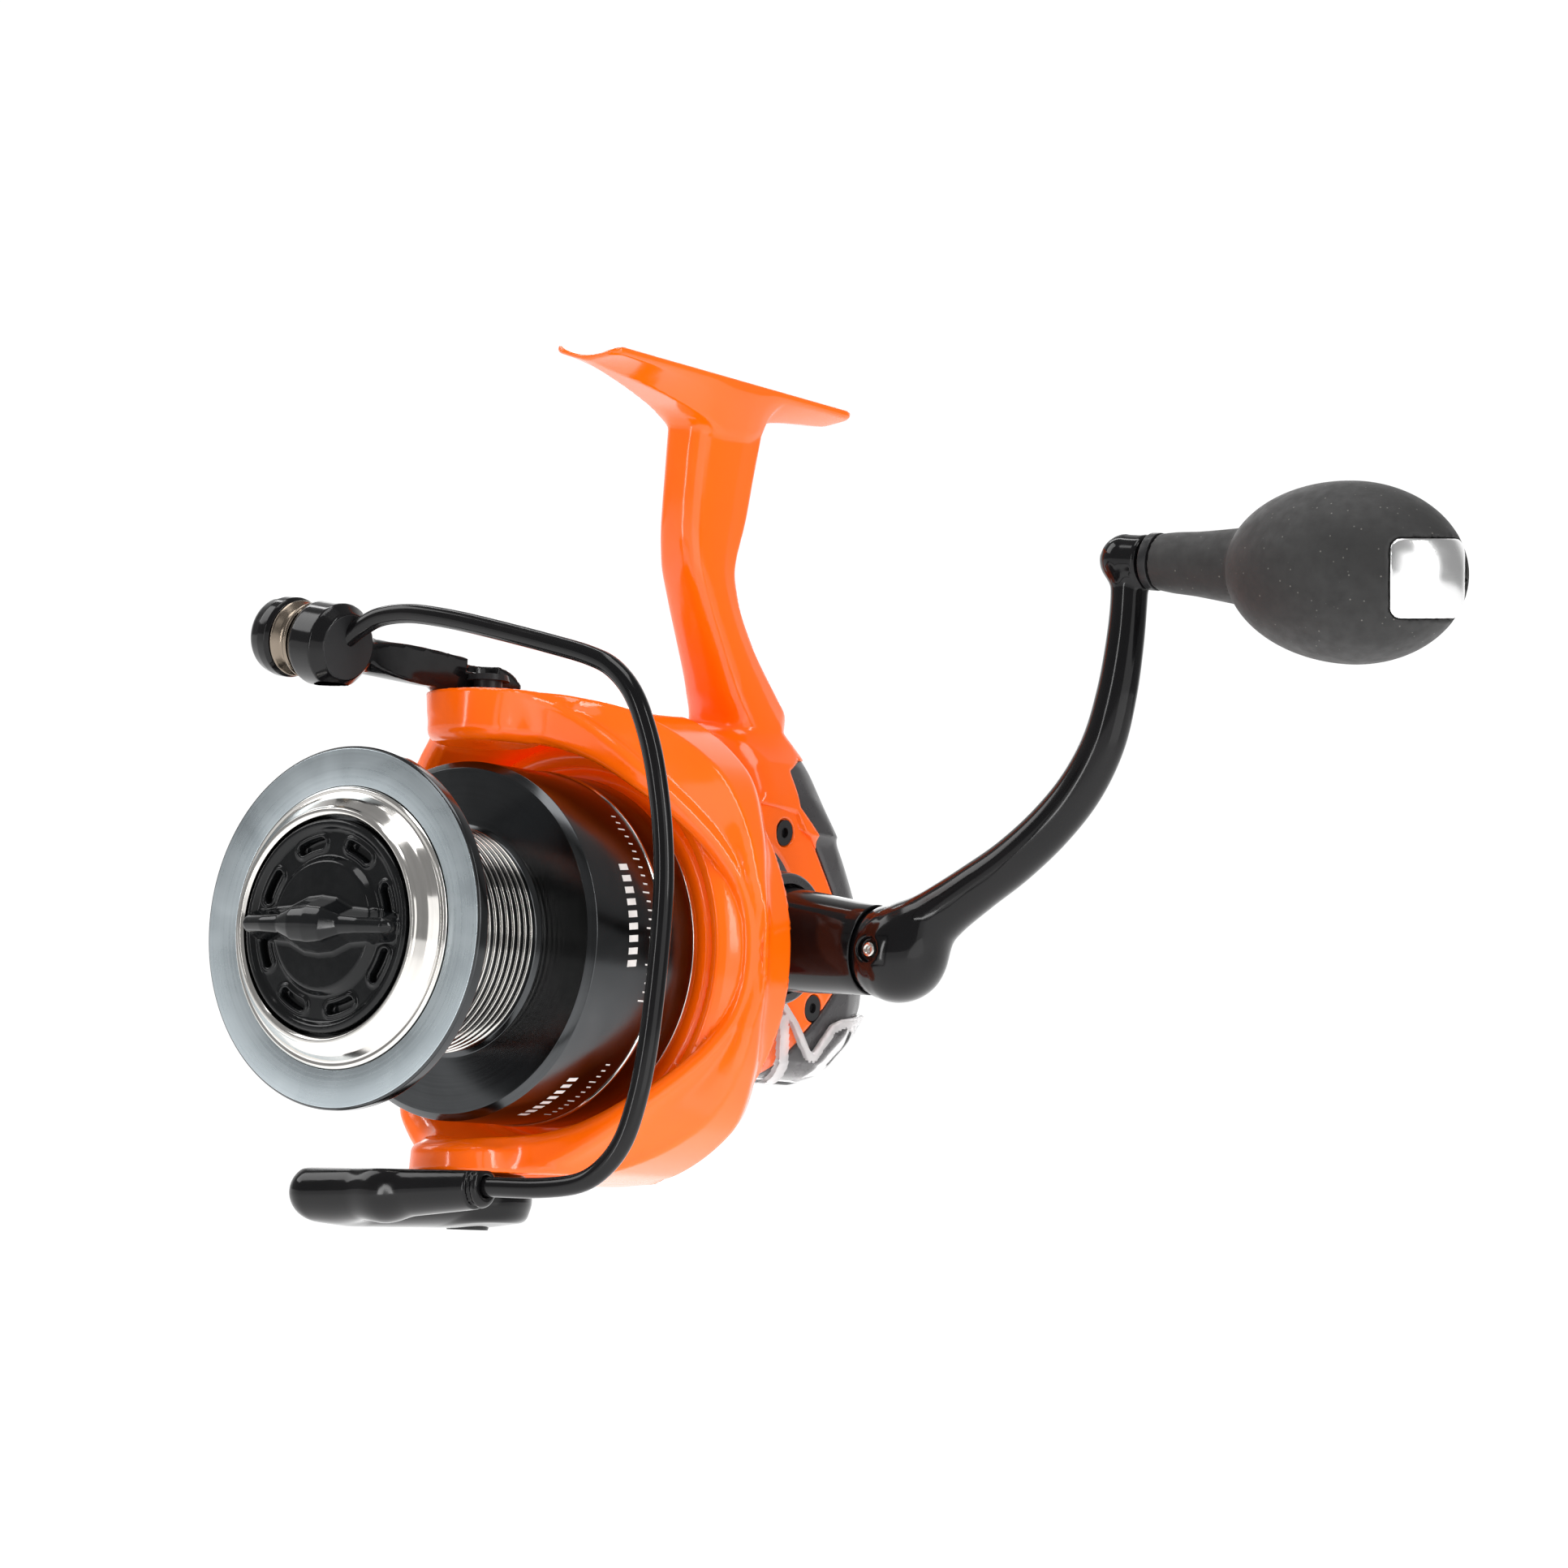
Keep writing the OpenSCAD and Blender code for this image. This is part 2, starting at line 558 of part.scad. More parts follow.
// All by the angle away from the arms' plane: 0 on an arm, 90 halfway between them
inner_edge = [
    [0, 24.4], [5, 24.9], [10, 26.9], [13, 29.5], [15, 32.2], [18, 35], [24, 38.5], [30, 42],
        [34, 45], [40, 51],
    [50, 52], [60, 52.6], [90, 53.6]
];
crest_edge = [
    [0, 24.4], [5, 24.9], [10, 26.9], [13, 29.5], [15.5, 32.7], [20, 36], [27, 38.9], [34, 40.7],
        [41, 42.6],
    [49, 46.6], [56.5, 49.7], [63, 53.6], [73, 57.6], [82.5, 59], [90, 59.5]
];
outer_edge = [[0, 25.5], [12, 29.4], [18, 34.5], [24, 42], [32, 47.5], [45, 53.5], [60, 58.6],
    [75, 60.6], [90, 61]];
outer_rad = [[0, 41.2], [10, 41.6], [18, 42.3], [28, 42.9], [45, 42], [60, 41], [75, 40.3], [90, 40]];
low_drop = 3.4;          // the lower arm is nearer the spool than the upper one
function off_arm(a) = let (b = abs(((a % 180) + 180) % 180)) b > 90 ? b - 90 : 90 - b;
function rim_r(a) = lookup(off_arm(a), outer_rad) - (sin(a) < 0 ? low_drop * pow(-sin(a), 3) : 0);
function rim_section(a) =
    let (o = off_arm(a), yi = lookup(o, inner_edge), yc = lookup(o, crest_edge), yo = lookup(o,
        outer_edge))
    let (ro = rim_r(a), rc = min(37.4, ro - 1.2))
    [for (p = [
        [31, 63], [31, yi + 1.2], [31.9, yi], [33.6, (yi + yc) / 2 - 0.8], [rc, yc],
            [ro - 0.8, (yc + yo) / 2 + 0.4],
        [ro, yo + 1.2], [ro, max(yo + 3, 63)], [ro - 2, 66.6], [35.5, 68], [33, 68]
    ]) [p[0] * cos(a), p[1], p[0] * sin(a)]];
rim_steps = 96;
pad_under = 32.2;        // underside of the upper pad
screw_in = 33.7;         // blind ends of the pivot screws' bores
screw_in_low = 34.2;
module rim() skin_loop([for (i = [0:rim_steps - 1]) reversed(rim_section(i * 360 / rim_steps))]);
// Region of the cover let into the back of the upper arm
module arm_cover_zone(gap = 0, front = 0)
    translate([-6 - gap, notch_y - front, pad_top - 0.6 - gap]) cube([12 + 2 * gap, 12.5 + front
        + gap, 20]);

module rotor() color(ORANGE) rotor_frame()
    difference() {
        union() {
            rim();
            // pads that carry the bail's pivots
            translate([0, bail_y, pad_under]) cylinder(r = pad_r, h = pad_top - pad_under);
            translate([0, bail_y, -pad_low]) cylinder(r = pad_r, h = pad_low - 33);
            // cup, web and hub
            turned_y([
                [3.7, 52], [8, 52], [8.6, web_y], [30, web_y], [32.6, 56.6], [33.4, 60], [33.4, 66],
                    [31.2, 67.8],
                [29.6, 67.8], [29.6, 58.4], [9.4, 58], [3.7, 58]
            ]);
        }
        // flats that the bail swings over
        translate([-20, 10, pad_top]) cube([40, notch_y - 10, 20]);
        translate([-20, 10, -60]) cube([40, notch_y - 10, 60 - pad_low]);
        arm_cover_zone(0.06, 0.5);
        // bores for the pivot screws, and a pocket for the bail's spring in the upper pad
        translate([0, bail_y, screw_in]) cylinder(r = 1.6, h = 20);
        translate([0, bail_y, pad_top - 4.4]) cylinder(r = 6.4, h = 10);
        translate([0, bail_y, -50]) cylinder(r = 1.6, h = 50 - screw_in_low);
    }

module pinion_gear() color(BRASS) reel()
    difference() {
        union() {
            turned_y([[0, 46], [3.6, 46], [3.6, 58.2], [3.9, 58.2], [3.9, 69], [3.3, 69], [3.3, 76],
                [0, 76]]);
            rotate([-90, 0, 0]) translate([0, 0, 68.5]) linear_extrude(7)
                polygon(gear_outline(pinion_teeth, 3.2, 4.25));
        }
        rod_y(shaft_r + fit, 40, 80);
    }

module clutch_sleeve() color(STEEL) reel() ring_y(3.92, 6.0, 58.4, 64.2);

module rotor_nut() color(STEEL) reel()
    difference() {
        rotate([-90, 0, 0]) translate([0, 0, 48.4]) cylinder(r = 7.2, h = 3.5, $fn = 6);
        rod_y(3.65, 40, 60);
    }

// Torsion spring under the bail lever
module bail_spring() color(STEEL) rotor_frame() translate([0, bail_y, 0])
    for (i = [0:2]) turned_z([for (p = arc(4.6, pad_top - 3.6 + i * 0.95, 0.5, 0, 345, 23)) p]);

module bail_screws() color(STEEL) rotor_frame() translate([0, bail_y, 0]) {
    difference() {
        union() {
            turned_z([[0, screw_in + 0.2], [1.55, screw_in + 0.2], [1.55, pad_top - 4.4], [2.4, pad_top - 4.4],
                [2.4, 42.6], [0, 42.6]]);
            turned_z([[0, 42.6], [3.6, 42.6], [3.3, 43.6], [0, 43.6]]);
        }
        translate([0, 0, 42.9]) cylinder(r = 1.3, h = 3, $fn = 6);
    }
    difference() {
        turned_z([[0, -46.2], [3.3, -46.2], [3.6, -45.2], [2.4, -45.2], [2.4, -pad_low],
            [1.55, -pad_low], [1.55, -screw_in_low - 0.2], [0, -screw_in_low - 0.2]]);
        translate([0, 0, -48.4]) cylinder(r = 1.3, h = 3, $fn = 6);
    }
}

// Cover let into the back of the upper arm
module arm_cover() color(BLACK) rotor_frame()
    intersection() {
        rim();
        arm_cover_zone();
    }

// ---- bail ---------------------------------------------------------------

wire_turn = 5;           // angle of the wire's plane from the rotor's X axis
wire_start = [-8, 3];    // the plane passes through this x, y
boss = [-3.4, 3.0, 44.6];      // middle of the boss's flat face
roll_axis = unit([-0.979, 0.07, 0.192]); // from the boss to the domed cap
roll_yaw = atan2(roll_axis[1], roll_axis[0]);
roll_tilt = asin(roll_axis[2]);
// Places a part along the roller's axis, which starts at the boss's flat face
module roller_frame() rotor_frame() translate(boss) rotate([0, 0, roll_yaw]) rotate([0,
    90 - roll_tilt, 0]) children();
roller_s0 = 8.2;         // inner end of the roller
roller_s1 = 12.1;        // outer end

module bail_lever() color(BLACK) rotor_frame()
    difference() {
        union() {
            // plate on the pad
            translate([0, bail_y, pad_top + 0.25]) cylinder(r = pad_r - 0.3, h = 2.1);
            // arm from the plate to the boss
            hull() {
                translate([1.5, bail_y - 1, pad_top + 0.25]) cylinder(r = 7.4, h = 2.6, $fn = 32);
                translate([-2.5, bail_y - 9, pad_top + 1.2]) cylinder(r = 4.6, h = 3.2, $fn = 32);
            }
            hull() {
                translate([-2.5, bail_y - 9, pad_top + 1.2]) cylinder(r = 4.6, h = 3.2, $fn = 32);
                translate([-7.6, 7.4, pad_top + 4]) sphere(r = 3.3, $fn = 32);
            }
            lever_boss();
            // stub that takes the end of the wire
            hull() {
                translate(on_wire(-0.4, 45.6) + [0, 2.4, 0]) sphere(r = 2.6, $fn = 32);
                translate(on_wire(5.6, 46.8)) rotate([0, 63.4, wire_turn]) cylinder(r = 2.5, h = 1.6,
                    $fn = 32);
            }
        }
        translate([0, bail_y, pad_top - 1]) cylinder(r = 2.4 + fit, h = 8);
        translate([0, bail_y, 42.55]) cylinder(r = 3.8, h = 8);
        translate(boss) rotate([0, 0, roll_yaw]) rotate([0, 90 - roll_tilt, 0]) translate([0, 0, 2])
            cylinder(r = 1.5, h = 12);
        translate(on_wire(3.5, 45.75)) rotate([0, 63.4, wire_turn]) cylinder(r = wire_d / 2 + 0.08,
            h = 9);
    }
module lever_boss() translate(boss) rotate([0, 0, roll_yaw]) rotate([0, 90 - roll_tilt, 0])
    turned_z([[0, 0], [5.3, 0], [6.8, 1.7], [6.8, 6.2], [6.1, 7.9], [0, 7.9]]);

module roller_screw() color(STEEL) roller_frame() translate([0, 0, 2.2]) cylinder(r = 1.5, h = 14);
module roller_bush() color(BRASS) roller_frame()
    turned_z([[1.52, 7.9], [2.4, 7.9], [2.4, 12.3], [1.52, 12.3]]);
module line_roller() color(STEEL) roller_frame()
    turned_z([
        [2.4 + fit, roller_s0 + 0.1], [6.0, roller_s0 + 0.1], [6.0, roller_s0 + 0.5],
            [5.0, roller_s0 + 1.4], [4.8, roller_s0 + 2.1],
        [5.2, roller_s0 + 2.8], [6.2, roller_s1 - 0.5], [6.2, roller_s1 - 0.1],
            [2.4 + fit, roller_s1 - 0.1]
    ]);
module roller_cap() color(BLACK) roller_frame()
    turned_z(concat([[1.52, 12.3], [6.3, 12.3], [6.6, 12.7],
        [6.6, 14.2]], arc(2.6, 14.6, 4.0, 10, 90, 8), [[0, 18.6], [0, 16.4], [1.52, 16.4]]));

// Bail wire: distance along its plane, height
wire_rows = smooth_rows([
    [3.6, 45.8], [7, 47.5], [10, 49], [14, 49.6], [18.3, 49.6], [25.3, 48.2], [33.2, 46.2],
        [42.8, 43.6], [50.4, 41.5],
    [54.9, 39.3], [58.6, 35.3], [61.3, 29.6], [63.2, 23.3], [64.7, 15], [65.3, 7], [65.1, -1],
        [64.3, -11], [63.3, -19.2],
    [61.9, -26], [59.7, -32.2], [56.4, -36.3], [52, -38.8], [45, -39.7], [36, -39.7], [28.2, -39.7]
], 2);
wire_dir = [cos(wire_turn), sin(wire_turn), 0];
wire_normal = [sin(wire_turn), -cos(wire_turn), 0];
function on_wire(s, z) = [wire_start[0], wire_start[1], z] + s * wire_dir;
module bail_wire() color(BLACK) rotor_frame()
    skin(tube_rings([for (r = wire_rows) [on_wire(r[0], r[1]), wire_d / 2, wire_d / 2]], wire_normal,
        12));

module bail_holder() color(BLACK) rotor_frame()
    difference() {
        union() {
            translate([0, bail_y, -45.6]) cylinder(r = pad_r - 0.3, h = 45.6 - pad_low - 0.25);
            hull() {
                translate([0, bail_y, -45.8]) cylinder(r = 8.6, h = 7.6, $fn = 32);
                translate([on_wire(7, 0)[0], on_wire(7, 0)[1], -42.2]) sphere(r = 4.3, $fn = 32);
            }
            hull() {
                translate(on_wire(3, -41.2)) sphere(r = 4.4, $fn = 32);
                translate(on_wire(13, -40.9)) sphere(r = 4.5, $fn = 32);
            }
            hull() {
                translate(on_wire(13, -40.8)) sphere(r = 4.4, $fn = 32);
                translate(on_wire(33.4, -39.7)) rotate([0, 90, wire_turn]) cylinder(r = 2.9, h = 2,
                    $fn = 32);
            }
        }
        translate(on_wire(28.1, -39.7)) rotate([0, 90, wire_turn]) cylinder(r = wire_d / 2 + 0.04,
            h = 10);
        translate([0, bail_y, -60]) cylinder(r = 2.4 + fit, h = 40);
        translate([0, bail_y, -60]) cylinder(r = 3.8, h = 60 - 45.15);
    }

// ---- main shaft ---------------------------------------------------------

module main_shaft() color(STEEL) reel() difference() {
    union() {
        rod_y(shaft_r, -2.9, 107.5);
        rod_y(3.4, 10, 40);
    }
    rod_y(0.8, -4, -1.5);
}
slider_y = osc_y + osc_pin_r;
module shaft_slider() color(STEEL) reel() difference() {
    translate([-3.8, slider_y - 3.2, -14.6]) cube([7.2, 6.4, 26.4]);
    rod_y(shaft_r + 0.01, 90, 120);
    // groove for the oscillation gear's pin
    translate([-5, slider_y - 1.5, osc_z - osc_pin_r - 1.6]) cube([2.4, 3, 2 * osc_pin_r + 3.2]);
    translate([0, 0, -12.6]) rod_y(1.2 + fit, 90, 120);
    translate([0, slider_y, 6]) cylinder(r = 1.01, h = 10);
}
module slider_screw() color(STEEL) reel() translate([0, slider_y, 0]) {
    translate([0, 0, 6.2]) cylinder(r = 1.0, h = 5.7);
    translate([0, 0, 11.82]) cylinder(r = 2.0, h = 1.2);
}
// Washers keyed to the shaft's flats, and the click gear behind the spool
washer_t = 0.9;
module washer_stack(first, r0, r1) for (i = [0:2]) ring_y(r0, r1, first + i * 2 * (washer_t + 0.12),
    first + i * 2 * (washer_t + 0.12) + washer_t);
module keyed_washers() color(STEEL) reel() washer_stack(2.94, shaft_r + 0.02, 12.8);
module click_gear() color([0.85, 0.85, 0.8]) reel() difference() {
    rotate([-90, 0, 0]) translate([0, 0, 36]) linear_extrude(2.4) polygon(gear_outline(30, 8.8, 9.9));
    rod_y(3.42, 30, 45);
}

module oscillation_gear() color([0.9, 0.9, 0.86]) reel() translate([0, osc_y, osc_z]) {
    difference() {
        translate([-9, 0, 0]) rotate([90, 0, 90]) linear_extrude(3)
            rotate(mesh_angle + 180 + 180 / osc_teeth)
                polygon(gear_outline(osc_teeth, osc_r - dedendum, osc_r + addendum));
        rod_x(1.5, -10, 0);
    }
    // crank pin, stopping just short of the slider's groove floor
    translate([0, osc_pin_r, 0]) rod_x(1.2, -6.1, -4.1);
}

// ---- spool --------------------------------------------------------------

pocket_r = 13.2;         // drag washer pocket
groove_pitch = 1.45;     // fine grooves round the arbor
groove_n = 14;
arbor_grooves = [for (i = [0:groove_n - 1]) let (y = 5.4 + i * groove_pitch) each
    [[arbor_r, y], [arbor_r - 0.25, y + 0.35], [arbor_r - 0.25, y + 0.75], [arbor_r, y + 1.1]]];
spool_outline = concat(
    [[22.1, 0.3], [22.3, 0], [lip_r - 0.5, 0], [lip_r, 0.5], [lip_r, lip_t - 0.6],
        [lip_r - 0.7, lip_t], [25.4, 3.4], [arbor_r + 0.4, 4.8]],
    arbor_grooves,
    [[arbor_r, flange_y - 0.6], [arbor_r + 0.7, flange_y - 0.4], [27.8, flange_y],
        [skirt_r, flange_y + 1.1], [skirt_r, 43.6],
     [skirt_r - 0.25, 43.7], [skirt_r - 0.25, 44.8], [skirt_r, 44.9], [skirt_r, 52.4],
         [skirt_r - 0.9, 52.5], [skirt_r - 0.9, 53.9],
     [skirt_r - 2.2, 53.9], [skirt_r - 2.2, 31.5], [24, 29.6], [16.4, 29.6], [16, 12], [8.6, 11.6],
         [8.2, 31], [7, 35.4], [3.5, 35.4], [3.5, 9.4], [pocket_r, 9.4],
     [pocket_r, 1.8], [pocket_r + 0.7, 1.8], [pocket_r + 0.7, 0.9], [pocket_r, 0.9],
         [pocket_r, 0.4], [17.3, 0.3]]
);
module spool() color(BLACK) reel() turned_y(spool_outline);
// Polished cone round the drag knob
module spool_ring() color(STEEL) reel()
    turned_y([[17.25, 0.28], [22.05, 0.28], [22.05, -0.1], [21.6, -0.45], [20.9, -0.5],
        [18.6, -3.1], [18.3, -3.6], [17.6, -3.7], [17.25, -3.3]]);
// Polished bands round the skirt
module spool_trim() color(STEEL) reel() {
    ring_y(skirt_r - 0.24, skirt_r + 0.15, 43.72, 44.78);
    turned_y([[skirt_r - 0.88, 52.52], [skirt_r, 52.52], [skirt_r + 0.05, 53.4],
        [skirt_r - 0.4, skirt_end_y], [skirt_r - 0.88, skirt_end_y]]);
}
module drag_washers() color([0.25, 0.24, 0.22]) reel() washer_stack(3.96, shaft_r + 0.4, pocket_r - 0.15);
module drag_retainer() color(STEEL) reel() rotate([-90, 0, 0]) translate([0, 0, 1.35]) rotate([0, 0, 20])
    rotate_extrude(angle = 320) translate([pocket_r - 0.1, 0]) circle(r = 0.4, $fn = 16);
module click_pawl() color(STEEL) reel() {
    translate([19, 0, 0]) rod_y(1.6, 29.6, 38);
    translate([10.45, 36.2, -1]) cube([8, 1.6, 2]);
}

// ---- drag knob ----------------------------------------------------------

knob_face = -3.9;        // plane of the drag knob's rim
// Raised bar that the fingers turn, pointed at both ends and faceted in the middle
grip_rows = [
    [-15.6, 0.9, 1.6], [-14.6, 1.8, 2.6], [-8, 2.6, 4.0], [-3.6, 3.5, 4.9], [0, 4.0, 5.2],
        [3.6, 3.5, 4.9], [8, 2.6, 4.0],
    [14.6, 1.8, 2.6], [15.6, 0.9, 1.6]
];
grip_tilt = 3;           // the bar's turn from level, in degrees
module grip_bar() rotate([0, grip_tilt, 0])
    skin([for (r = grip_rows) [
        [r[0], knob_face + 0.6, -r[1]], [r[0], knob_face - r[2] * 0.72, -r[1] * 0.72],
        [r[0], knob_face - r[2], -0.25 * r[1]], [r[0], knob_face - r[2], 0.25 * r[1]],
        [r[0], knob_face - r[2] * 0.72, r[1] * 0.72], [r[0], knob_face + 0.6, r[1]]
    ]]);
module drag_knob() color(BLACK) reel() difference() {
    union() {
        turned_y([
            [0, knob_face - 0.4], [10.6, knob_face - 0.1], [11.2, knob_face + 0.7],
                [15.0, knob_face + 0.7], [15.6, knob_face],
            [16.3, knob_face], [16.75, knob_face + 0.4], [16.75, -1.4], [16.0, -0.8], [11.2, -0.8],
                [11.2, 0.1], [2.9, 0.1],
            [2.9, -1.15], [4.15, -1.15], [4.15, -3.3], [0, -3.3]
        ]);
        grip_bar();
    }
    for (i = [0:7]) rotate([0, 22.5 + i * 45, 0]) rotate([-90, 0, 0]) translate([0, 0, knob_face])
        linear_extrude(1.5) polygon(concat(
            [for (a = [-12:4:12]) 14.1 * [cos(a), sin(a)]],
            [for (a = [12:-4:-12]) 12.1 * [cos(a), sin(a)]]));
}
module drag_nut() color(BRASS) reel() difference() {
    rotate([-90, 0, 0]) translate([0, 0, -3.25]) cylinder(r = 4.1, h = 2.05, $fn = 6);
    rod_y(shaft_r + fit, -5, 5);
}
module drag_spring() color(STEEL) reel()
    for (i = [0:2]) turned_y([for (p = arc(4.9, 0.55 + i * 0.75, 0.38, 0, 345, 23)) p]);
module drag_seal() color([0.5, 0.1, 0.08]) reel()
    turned_y([for (p = arc(12.0, -0.25, 0.5, 0, 345, 23)) p]);

body_housing();
side_cover();
rear_cover();
rear_guard();
hub_collar();
body_screws();
handle_cap();
shaft_bearing_right();
shaft_bearing_left();
pinion_bearing();
clutch_housing();
slider_guide();
drive_gear();
drive_shaft();
handle_tube();
crank_arm();
fold_pin();
knob_shaft();
knob_bush();
knob_collar();
knob_grip();
knob_plate();
rotor();
pinion_gear();
clutch_sleeve();
rotor_nut();
bail_spring();
bail_screws();
arm_cover();
bail_lever();
bail_wire();
bail_holder();
roller_cap();
roller_screw();
roller_bush();
line_roller();
main_shaft();
shaft_slider();
slider_screw();
keyed_washers();
click_gear();
oscillation_gear();
spool();
spool_ring();
spool_trim();
drag_washers();
drag_retainer();
click_pawl();
drag_knob();
drag_nut();
drag_spring();
drag_seal();
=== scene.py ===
import json
import math

import bmesh
import bpy
import numpy as np
from mathutils import Matrix, Vector


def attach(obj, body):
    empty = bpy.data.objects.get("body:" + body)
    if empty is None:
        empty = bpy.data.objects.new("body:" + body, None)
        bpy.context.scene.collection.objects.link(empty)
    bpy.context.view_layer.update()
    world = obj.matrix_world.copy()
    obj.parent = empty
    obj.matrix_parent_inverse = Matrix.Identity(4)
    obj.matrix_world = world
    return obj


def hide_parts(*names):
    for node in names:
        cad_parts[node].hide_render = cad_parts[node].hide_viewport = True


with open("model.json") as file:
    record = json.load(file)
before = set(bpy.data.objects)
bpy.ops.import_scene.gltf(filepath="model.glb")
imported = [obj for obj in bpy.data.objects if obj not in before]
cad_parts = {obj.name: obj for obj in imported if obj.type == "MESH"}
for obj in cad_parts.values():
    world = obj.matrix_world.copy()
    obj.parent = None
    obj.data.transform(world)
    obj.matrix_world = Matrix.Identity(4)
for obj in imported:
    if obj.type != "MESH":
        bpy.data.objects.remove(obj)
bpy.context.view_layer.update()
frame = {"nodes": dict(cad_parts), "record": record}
MM = 0.001

# -------- frames
# Sizes below are in mm about the spool axis (Y), with y = 0 at the lip's face and z up towards the foot.
SEAT_Y, SEAT_Z = 74.0, 97.8          # the rod seat, which is the part's own origin
HANDLE_Y, HANDLE_Z = 80.0, 6.7       # the handle axis
KNOB_Z = 73.2                        # the knob axis
ON_HANDLE = {"axis": "x", "origin": (0, HANDLE_Y, HANDLE_Z)}
TURN = math.radians(-6.6)            # the rotor's turn about the spool axis at rest
PIVOT_Y = 33.0                       # the bail's pivot


def reel(p):
    """Points about the spool axis in mm, in the part's frame in metres."""
    p = np.atleast_2d(np.asarray(p, float))
    return (p - (0, SEAT_Y, SEAT_Z)) * MM


def rot(p):
    """Points in the rotor's own turned frame."""
    p = np.atleast_2d(np.asarray(p, float))
    c, s = math.cos(TURN), math.sin(TURN)
    return reel(np.stack([p[:, 0] * c + p[:, 2] * s, p[:, 1], -p[:, 0] * s + p[:, 2] * c], 1))


def table(knots, n=400):
    """A smooth curve through (x, y) knots without overshoot, as a function."""
    k = np.asarray(knots, float)
    x, y = k[:, 0], k[:, 1]
    d = np.diff(y) / np.diff(x)
    m = np.zeros(len(x))
    m[0], m[-1] = d[0], d[-1]
    for i in range(1, len(x) - 1):
        m[i] = 0 if d[i - 1] * d[i] <= 0 else 2 * d[i - 1] * d[i] / (d[i - 1] + d[i])
    xs = np.linspace(x[0], x[-1], n)
    j = np.clip(np.searchsorted(x, xs, side="right") - 1, 0, len(x) - 2)
    h = x[j + 1] - x[j]
    t = (xs - x[j]) / h
    ys = (
        (1 + 2 * t) * (1 - t) ** 2 * y[j]
        + t * (1 - t) ** 2 * h * m[j]
        + t * t * (3 - 2 * t) * y[j + 1]
        + t * t * (t - 1) * h * m[j + 1]
    )
    return lambda q: np.interp(q, xs, ys)


def through(rows, steps):
    """A Catmull-Rom curve through rows of numbers."""
    r = np.asarray(rows, float)
    out = []
    for i in range(len(r) - 1):
        a, b, c, d = r[max(i - 1, 0)], r[i], r[i + 1], r[min(i + 2, len(r) - 1)]
        for k in range(steps):
            t = k / steps
            bend, twist = 2 * a - 5 * b + 4 * c - d, 3 * b - a - 3 * c + d
            out.append(0.5 * (2 * b + (c - a) * t + bend * t * t + twist * t**3))
    out.append(r[-1])
    return np.array(out)


# -------- meshes
def add_mesh(name, verts, faces, mats, ids=None, sharp=None):
    """A smooth-shaded object from points in metres; faces turned outwards."""
    me = bpy.data.meshes.new(name)
    faces = faces.tolist() if isinstance(faces, np.ndarray) else faces
    me.from_pydata(np.asarray(verts).tolist(), [], faces)
    for m in mats if isinstance(mats, (list, tuple)) else [mats]:
        me.materials.append(m)
    if ids is not None:
        me.polygons.foreach_set("material_index", np.asarray(ids, int).tolist())
    bm = bmesh.new()
    bm.from_mesh(me)
    bmesh.ops.remove_doubles(bm, verts=bm.verts, dist=1e-7)
    if bm.calc_volume(signed=True) < 0:
        bmesh.ops.reverse_faces(bm, faces=bm.faces)
    bm.to_mesh(me)
    bm.free()
    me.polygons.foreach_set("use_smooth", [True] * len(me.polygons))
    if sharp:
        me.set_sharp_from_angle(angle=math.radians(sharp))
    ob = bpy.data.objects.new(name, me)
    bpy.context.scene.collection.objects.link(ob)
    return ob


def rounded(profile, steps=5):
    """A closed outline whose corners (u, v, radius) are rounded with arcs."""
    pts = []
    n = len(profile)
    for i in range(n):
        p = np.array(profile[i][:2], float)
        rad = profile[i][2] if len(profile[i]) > 2 else 0.0
        a = np.array(profile[i - 1][:2], float) - p
        b = np.array(profile[(i + 1) % n][:2], float) - p
        la, lb = np.linalg.norm(a), np.linalg.norm(b)
        if rad <= 0 or la < 1e-9 or lb < 1e-9:
            pts.append(p)
            continue
        a, b = a / la, b / lb
        half = math.acos(max(-1.0, min(1.0, float(a @ b)))) / 2
        if half > 1.55:
            pts.append(p)
            continue
        cut = min(rad / math.tan(half), 0.48 * la, 0.48 * lb)
        r = cut * math.tan(half)
        mid = (a + b) / np.linalg.norm(a + b)
        c = p + mid * r / math.sin(half)
        s, e = p + a * cut - c, p + b * cut - c
        span = math.pi - 2 * half
        side = 1.0 if s[0] * e[1] - s[1] * e[0] > 0 else -1.0
        for k in range(steps + 1):
            t = side * span * k / steps
            cos, sin = math.cos(t), math.sin(t)
            pts.append(c + np.array([s[0] * cos - s[1] * sin, s[0] * sin + s[1] * cos]))
    return np.array(pts)


AXES = {
    "y": ((0, 1, 0), (1, 0, 0), (0, 0, 1)),
    "x": ((1, 0, 0), (0, 1, 0), (0, 0, 1)),
}


def axes_of(direction):
    """The direction and two more at right angles to it."""
    w = np.array(direction, float)
    w /= np.linalg.norm(w)
    u = np.cross(w, (0, 0, 1.0) if abs(w[2]) < 0.8 else (1.0, 0, 0))
    u /= np.linalg.norm(u)
    return w, u, np.cross(w, u)


